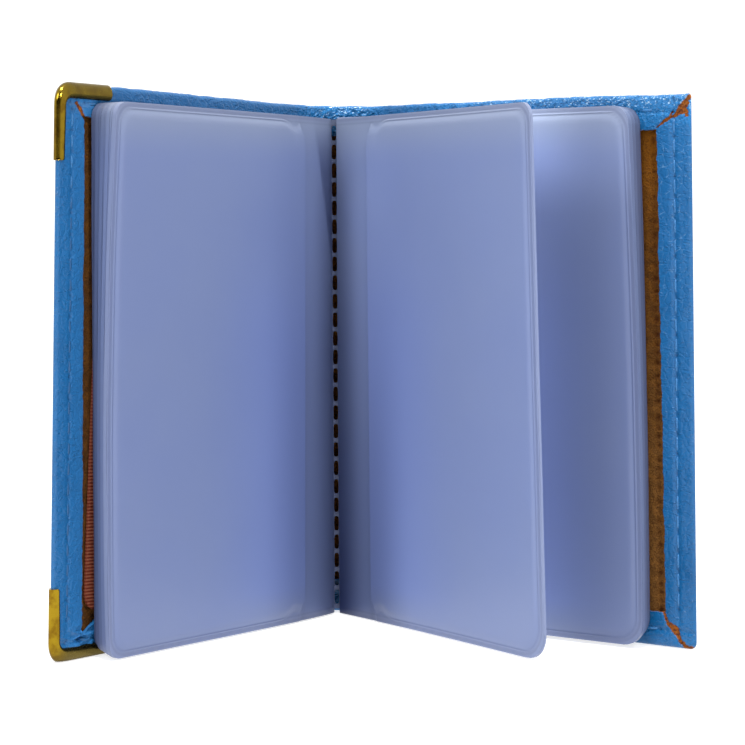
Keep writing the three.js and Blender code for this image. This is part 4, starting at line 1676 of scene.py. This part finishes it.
@dataclass
class LeafBundle:
    """All pocket leaves and the slotted weld that holds them.

    Exits are the places where the films leave the weld, across and forward, counted from the rear.
    Strays and tones run from the rear leaf to the front one. The tones, the gutters and the weld's tone
    are painted shade and light.
    """

    plan: CasePlan
    exits: tuple[tuple[float, float], ...] = (
        (1.55, 0.2), (1.6, 0.8), (1.2, 1.35), (0.95, 1.9), (0.78, 2.45))
    weld_forward: float = 0.6
    weld_lean: tuple[float, float] = (-0.9, -1.9)
    weld_width: float = 2.4
    weld_thickness: float = 1.0
    # Painted shade on the weld strip deep in the gutter.
    weld_tone: float = 0.35
    slot_count: int = 26
    slot_pitch: float = 4.03
    slot_length: float = 3.2
    slot_width: float = 1.0
    slot_drop: float = 1.3
    low: float = 0.8
    high: float = 107.0
    raised_length: float = 70.3
    raised_swing: tuple[float, float] = (55.0, 57.8)
    raised_bow: float = 1.2
    routes: dict[Side, tuple[Route, Route]] = field(default_factory=lambda: {
        Side.LEFT: (((0.9, 0.7), (12, 0.42), (71.2, 0.45)), ((6.6, 6.6), (40, 6.0), (73.4, 6.4))),
        Side.RIGHT: (((0.2, 1.2), (12, 0.45), (70.7, 0.45)), ((5, 5.2), (36, 4.7), (70.4, 4.7)))})
    strays: dict[Side, tuple[Triple, Triple]] = field(default_factory=lambda: {
        Side.LEFT: ((-1.3, -0.4, 0.4), (-1.0, 0.15, -1.5)),
        Side.RIGHT: ((-0.1, 0.0, -0.6), (1.3, 1.3, -0.1))})
    # Painted shade: each leaf's tone, and the brightness into the gutters by share of the height, at the
    # weld and at the mouth.
    tones: dict[Side, tuple[float, ...]] = field(default_factory=lambda: {
        Side.LEFT: (0.33, 0.44, 0.56, 0.70, 1.0), Side.RIGHT: (0.76, 0.93, 1.20, 1.76)})
    left_gutter: tuple[Triple, ...] = (
        (0.0, 0.34, 0.60), (0.5, 0.32, 0.72), (0.8, 0.52, 0.93), (0.93, 0.85, 0.98), (1.0, 1.0, 1.0))
    raised_gutter: tuple[Triple, ...] = (
        (0.0, 0.06, 0.42), (0.35, 0.19, 0.67), (0.6, 0.32, 0.93), (0.85, 0.60, 1.18), (0.94, 0.96, 1.12),
        (1.0, 1.0, 1.0))

    def weld_x(self, z: Any) -> Any:
        """Middle of the weld at a height."""
        return self.plan.spine_x + lerp(*self.weld_lean, z / self.plan.height)

    def exit(self, side: Side, order: int, z: float) -> Array:
        """Plan point where a film leaves the weld.

        Args:
            side: Side that the film leaves to.
            order: Its number from the rear.
            z: Height.

        Returns:
            X and Y in millimetres.
        """
        across, forward = self.exits[order]
        y = self.plan.spine_y - self.weld_forward - forward
        return np.array([self.weld_x(z) + side.value * across, y])

    def stacked(self, side: Side, order: int, share: float, rear: Route, front: Route) -> LeafCurve:
        """Curve of a leaf lying on a cover.

        Args:
            side: The cover.
            order: Number of the leaf from the rear.
            share: Its place from the rear leaf, 0, to the front leaf, 1.
            rear: Control points of the rear leaf after its exit, along the cover and in from it.
            front: Control points of the front leaf.

        Returns:
            The curve, its control points a straight blend of those two.
        """
        ends = []
        for z in (0.0, self.plan.height):
            far = [lerp(self.plan.beside(side, *a, z), self.plan.beside(side, *b, z), share)
                   for a, b in zip(rear, front)]
            ends.append(np.array([self.exit(side, order, z), *far]))
        return LeafCurve(ends[0], ends[1], side.value, self.plan.height)

    def raised(self) -> LeafCurve:
        """Curve of the leaf that stands off the right stack in a shallow bow.

        Returns:
            The curve, its control points set off square to a straight line.
        """
        ends = []
        for z, degrees in zip((0.0, self.plan.height), self.raised_swing):
            swing = math.radians(degrees)
            way = np.array([math.cos(swing), -math.sin(swing)])
            off = np.array([math.sin(swing), math.cos(swing)])
            root = self.exit(Side.RIGHT, len(self.exits) - 1, z)
            steps = ((0.0, 0.0), (0.3, self.raised_bow), (0.65, self.raised_bow / 2.0), (1.0, 0.0))
            ends.append(np.array([root + way * self.raised_length * s + off * bow for s, bow in steps]))
        return LeafCurve(ends[0], ends[1], Side.RIGHT.value, self.plan.height)

    def leaves(self) -> dict[str, Leaf]:
        """All leaves by name, each stack blended from its rear leaf to its front leaf.

        Returns:
            The leaves.
        """
        made = {}
        for side in Side:
            (rear, front), tones = self.routes[side], self.tones[side]
            for order, tone in enumerate(tones):
                share = order / (len(tones) - 1)
                shift = tuple(lerp(a, b, share) for a, b in zip(*self.strays[side]))
                leaf = Leaf(self.stacked(side, order, share, rear, front), shift, tone, self.left_gutter,
                            seed=80 + order, puff=0.64 if order else 0.25, fade=0.1, crown=0.0,
                            low=lerp(0.8, 0.2, share))
                # Painted shade and light: rim shade on the front leaves; fade, crown and a cool span on the
                # right stack.
                at_front = order == len(tones) - 1
                if at_front:
                    leaf.rim_shade = 0.2 if side is Side.LEFT else 0.15
                else:
                    leaf.rim_level, leaf.rim_grey = 0.79, 0.0 if side is Side.LEFT else 1.0
                if side is Side.RIGHT:
                    leaf.low, leaf.high, leaf.corner = lerp(1.3, 0.5, share), 107.4, (4.4, 3.6)
                    leaf.fade, leaf.fade_span, leaf.crown = 0.55, (42.0, 67.0), 0.38
                    leaf.cool_span = (70.0, 54.0)
                made[f"{side.name.lower()}_{order + 1}"] = leaf
        made["raised"] = Leaf(self.raised(), (0.0, 0.0, 0.0), 1.07, self.raised_gutter, seed=90, puff=0.3,
                              fade=0.0, crown=0.0, low=0.12, high=107.1, corner=(5.4, 2.8), mouth=12.0,
                              rim_shade=0.18)
        return made

    def weld(self) -> Shell:
        """Builds the slotted strip from a cell for each slot.

        In a cell, rays run from the rounded slot to the cell's border: the slot is a superellipse of
        power four, and the border is the same ray scaled until it meets the rectangle.

        Returns:
            The shell.
        """
        edges = self.high - self.slot_drop + 0.5 * (self.slot_pitch - self.slot_length)
        upper = edges - self.slot_pitch * np.arange(self.slot_count)
        lower = upper - self.slot_pitch
        middle = 0.5 * (upper + lower)
        upper[0], lower[-1] = self.high, self.low
        side = np.linspace(-1.0, 1.0, 7)[:-1]
        one = np.ones_like(side)
        box = np.concatenate([np.stack(pair, -1) for pair in
                              ((side, -one), (one, side), (-side, one), (-one, -side))])
        norm = (np.abs(box) ** 4).sum(1) ** 0.25
        slot = box / norm[:, None] * np.array([self.slot_width / 2, self.slot_length / 2])
        border_x = np.broadcast_to(box[:, 0] * self.weld_width / 2, (self.slot_count, len(box)))
        border_z = lerp(lower[:, None], upper[:, None], (box[:, 1] + 1) / 2)
        slot_x = np.broadcast_to(slot[:, 0], border_x.shape)
        slot_z = middle[:, None] + slot[:, 1]
        ring = np.linspace(0.0, 1.0, 3)[None, :, None]
        x = lerp(slot_x[:, None], border_x[:, None], ring)
        z = lerp(slot_z[:, None], border_z[:, None], ring)
        back = self.plan.spine_y - self.weld_forward
        shell = Shell()
        faces = [shell.patch(np.stack([self.weld_x(z) + x, np.full_like(x, y), z], -1), tone=self.weld_tone)
                 for y in (back, back - self.weld_thickness)]
        for face in faces:
            shell.quads(face, wrap=True)
        shell.quads(np.stack([faces[0][:, 0], faces[1][:, 0]], 1), wrap=True)
        steps = len(side)
        for start in (steps, 3 * steps):
            run = np.arange(start, start + steps + 1) % len(box)
            shell.quads(np.stack([faces[0][:, -1][:, run], faces[1][:, -1][:, run]], 1))
        for cell, start in ((-1, 0), (0, 2 * steps)):
            run = np.arange(start, start + steps + 1) % len(box)
            shell.quads(np.stack([faces[0][cell, -1][run], faces[1][cell, -1][run]]))
        return shell


@dataclass
class RibbedCard:
    """Ribbed card tucked behind the left leaves."""

    plan: CasePlan
    width: float = 54.0
    height: float = 85.6
    thickness: float = 0.6
    corner: float = 3.2
    tilt: float = 2.3
    fore_corner: tuple[float, float] = (71.8, 9.1)
    depth: float = 0.2
    rib_pitch: float = 0.66
    rib_depth: float = 0.1
    rib_steps: int = 6
    rim_shares: tuple[float, ...] = (0.0, 0.006, 0.013, 0.02, 0.05)

    def build(self) -> Shell:
        """Builds the card: a rounded rectangle whose front is a cosine of the height, flat at its rim.

        Returns:
            The shell.
        """
        rise = np.linspace(0.0, self.height, int(self.height / self.rib_pitch) * self.rib_steps + 1)[:, None]
        drawn = drawn_in(self.corner, np.minimum(rise, self.height - rise))
        rim_shares = np.array(self.rim_shares)
        share = np.concatenate([rim_shares, np.linspace(0.1, 0.9, 5), 1.0 - rim_shares[::-1]])
        across = lerp(drawn, self.width - drawn, share[None, :])
        rise = np.broadcast_to(rise, across.shape)
        rim = np.minimum(np.minimum(across, self.width - across), np.minimum(rise, self.height - rise))
        wave = 0.5 + 0.5 * np.cos(math.tau * rise / self.rib_pitch)
        ribs = wave * ease(0.05, 0.25, rim)
        tilt = math.radians(self.tilt)
        along = self.fore_corner[0] - across * math.cos(tilt) - rise * math.sin(tilt)
        z = self.fore_corner[1] - across * math.sin(tilt) + rise * math.cos(tilt)
        run = self.plan.run(Side.LEFT, along)
        shell = Shell()
        shell.sheet(self.plan.stand(run, self.depth + self.rib_depth * (1.0 - ribs), z),
                    self.plan.stand(run, self.depth + self.thickness + 0.0 * z, z),
                    crest=wave)
        return shell


@dataclass
class Studio:
    """Pale floor, soft lights and the camera.

    The eye is in millimetres, and the pitch and the roll are in degrees. The floor and the lights are in
    metres. Each light has a name, a place, an aim, a size and a power.
    """

    eye: Triple = (-1.318, -457.959, 79.5)
    pitch: float = 3.18
    roll: float = 0.187
    lens: float = 108.72
    sensor: float = 36.0
    floor_reach: float = 9.0
    floor_sweep: float = 1.0
    floor_top: float = 3.0
    floor_drop: float = 0.0002
    floor_colour: Colour = (0.45, 0.45, 0.45)
    floor_glow: float = 0.75
    world_strength: float = 1.18
    dark_way: Triple = (0.0, -0.93, 0.37)
    dark_span: tuple[float, float] = (0.93, 0.62)
    dark_level: float = 0.02
    lights: tuple[tuple[str, Triple, Triple, float, float], ...] = (
        ("left", (-0.6, -1.0, 1.05), (0.0, 0.0, 0.05), 0.6, 9.0),
        ("right", (0.5, -1.05, 1.05), (0.0, 0.0, 0.05), 0.14, 9.0),
        ("top", (0.0, -0.35, 1.5), (0.0, 0.0, 0.0), 0.18, 18.0))

    def floor(self) -> None:
        """Builds the floor: flat under the case, swept up behind it along a quarter of a circle."""
        reach = np.linspace(-self.floor_reach, self.floor_sweep, 20)
        turn = np.linspace(0.0, 0.5 * math.pi, 16)[1:]
        sweep = self.floor_sweep * np.stack([1.0 + np.sin(turn), 1.0 - np.cos(turn)], -1)
        path = np.concatenate([np.stack([reach, 0.0 * reach], -1), sweep,
                               [[2.0 * self.floor_sweep, self.floor_top]]])
        across = np.linspace(-self.floor_reach, self.floor_reach, 12)
        x, row = np.meshgrid(across, np.arange(len(path)))
        points = np.stack([x, path[row, 0], path[row, 1] - self.floor_drop], -1)
        index = np.arange(x.size).reshape(x.shape)
        faces = np.stack([index[:-1, :-1], index[:-1, 1:], index[1:, 1:], index[1:, :-1]], -1).reshape(-1, 4)
        mesh = bpy.data.meshes.new("floor")
        mesh.from_pydata(points.reshape(-1, 3).tolist(), [], faces.tolist())
        mesh.polygons.foreach_set("use_smooth", np.ones(len(mesh.polygons), bool))
        sheet = Sheet(bpy.data.materials.new("pale_floor"))
        mesh.materials.append(sheet.finish({
            "Base Color": self.floor_colour, "Roughness": 0.9, "Specular IOR Level": 0.1,
            "Emission Color": (1.0, 1.0, 1.0), "Emission Strength": self.floor_glow}))
        made = bpy.data.objects.new("floor", mesh)
        bpy.context.scene.collection.objects.link(made)

    def light(self, name: str, place: Triple, aim: Triple, size: float, power: float) -> None:
        """Adds a square soft light.

        Args:
            name: Its name.
            place: Where it hangs.
            aim: The point that it is turned to.
            size: Length of its sides.
            power: Power in watts.
        """
        lamp = bpy.data.lights.new(name, "AREA")
        lamp.size, lamp.energy = size, power
        made = bpy.data.objects.new(name, lamp)
        toward = np.array(aim) - np.array(place)
        made.rotation_mode = "QUATERNION"
        made.rotation_quaternion = Vector(toward).to_track_quat("-Z", "Y")
        made.location = place
        bpy.context.scene.collection.objects.link(made)

    def world(self) -> None:
        """Surrounds the scene with an even pale light, dark only behind the camera."""
        sheet = Sheet(bpy.data.worlds.new("studio"))
        place = sheet.node("ShaderNodeTexCoord", output="Generated")
        way = sheet.node("ShaderNodeVectorMath", {"operation": "DOT_PRODUCT"},
                         {0: place, 1: self.dark_way}, "Value")
        shade = sheet.step(way, *self.dark_span) * (1.0 - self.dark_level) + self.dark_level
        ground = sheet.node("ShaderNodeBackground", None, {"Color": shade, "Strength": self.world_strength})
        sheet.end("ShaderNodeOutputWorld", ground)
        bpy.context.scene.world = sheet.owner

    def camera(self) -> None:
        """Sets the camera: along +Y, pitched down and rolled a little."""
        data = bpy.data.cameras.new("camera")
        data.sensor_width, data.sensor_height, data.sensor_fit = self.sensor, self.sensor, "HORIZONTAL"
        data.lens = self.lens
        data.clip_start, data.clip_end = 0.02, 20.0
        pitch, roll = math.radians(self.pitch), math.radians(self.roll)
        ahead = np.array([0.0, math.cos(pitch), -math.sin(pitch)])
        above = np.array([0.0, math.sin(pitch), math.cos(pitch)])
        aside = np.array([1.0, 0.0, 0.0])
        right = aside * math.cos(roll) + above * math.sin(roll)
        up = above * math.cos(roll) - aside * math.sin(roll)
        frame = np.eye(4)
        frame[:3, 0], frame[:3, 1], frame[:3, 2] = right, up, -ahead
        frame[:3, 3] = np.array(self.eye) * MM
        made = bpy.data.objects.new("camera", data)
        made.matrix_world = Matrix(frame.tolist())
        bpy.context.scene.collection.objects.link(made)
        bpy.context.scene.camera = made

    def build(self) -> None:
        """Sets up the whole studio."""
        self.floor()
        self.world()
        for light in self.lights:
            self.light(*light)
        self.camera()
        bpy.context.scene.view_settings.view_transform = "Standard"


@dataclass
class DocumentCase:
    """The whole case."""

    plan: CasePlan = field(default_factory=CasePlan)

    def build(self) -> None:
        """Builds and dresses every piece."""
        cover = Cover(self.plan)
        leather, suede, brass = BlueLeather().make(), BrownSuede().make(), WornBrass().make()
        film, card, thread = MilkyFilm().make(), RibbedRedCard().make(), BlueThread().make()
        cover.build().piece("leather_cover", leather, Slot.LEATHER, ("cover",), 55.0)
        Stitches(cover).build().piece("hem_stitches", thread, Slot.LEATHER, (), 80.0)
        Lining(cover).build().piece("suede_lining", suede, Slot.SUEDE, ("lining",))
        for name, at_top in (("top", True), ("bottom", False)):
            channel = BrassCorner(cover, at_top).build()
            channel.piece(f"brass_corner_{name}", brass, Slot.BRASS, (f"corner_{name}",))
        bundle = LeafBundle(self.plan)
        bundle.weld().piece("slotted_weld", film, Slot.FILM, ("weld_strip",))
        for name, leaf in bundle.leaves().items():
            leaf.base().piece(f"film_{name}", film, Slot.FILM, (f"leaf_{name}",))
            leaf.pocket().piece(f"pocket_film_{name}", film, Slot.FILM, (f"pocket_{name}",))
        RibbedCard(self.plan).build().piece("red_card", card, Slot.CARD, ("ribbed_card",))


def main() -> None:
    """Loads the frame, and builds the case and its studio."""
    logging.basicConfig(level=logging.INFO)
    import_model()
    DocumentCase().build()
    Studio().build()
    bpy.context.view_layer.update()


if __name__ == "__main__":
    main()
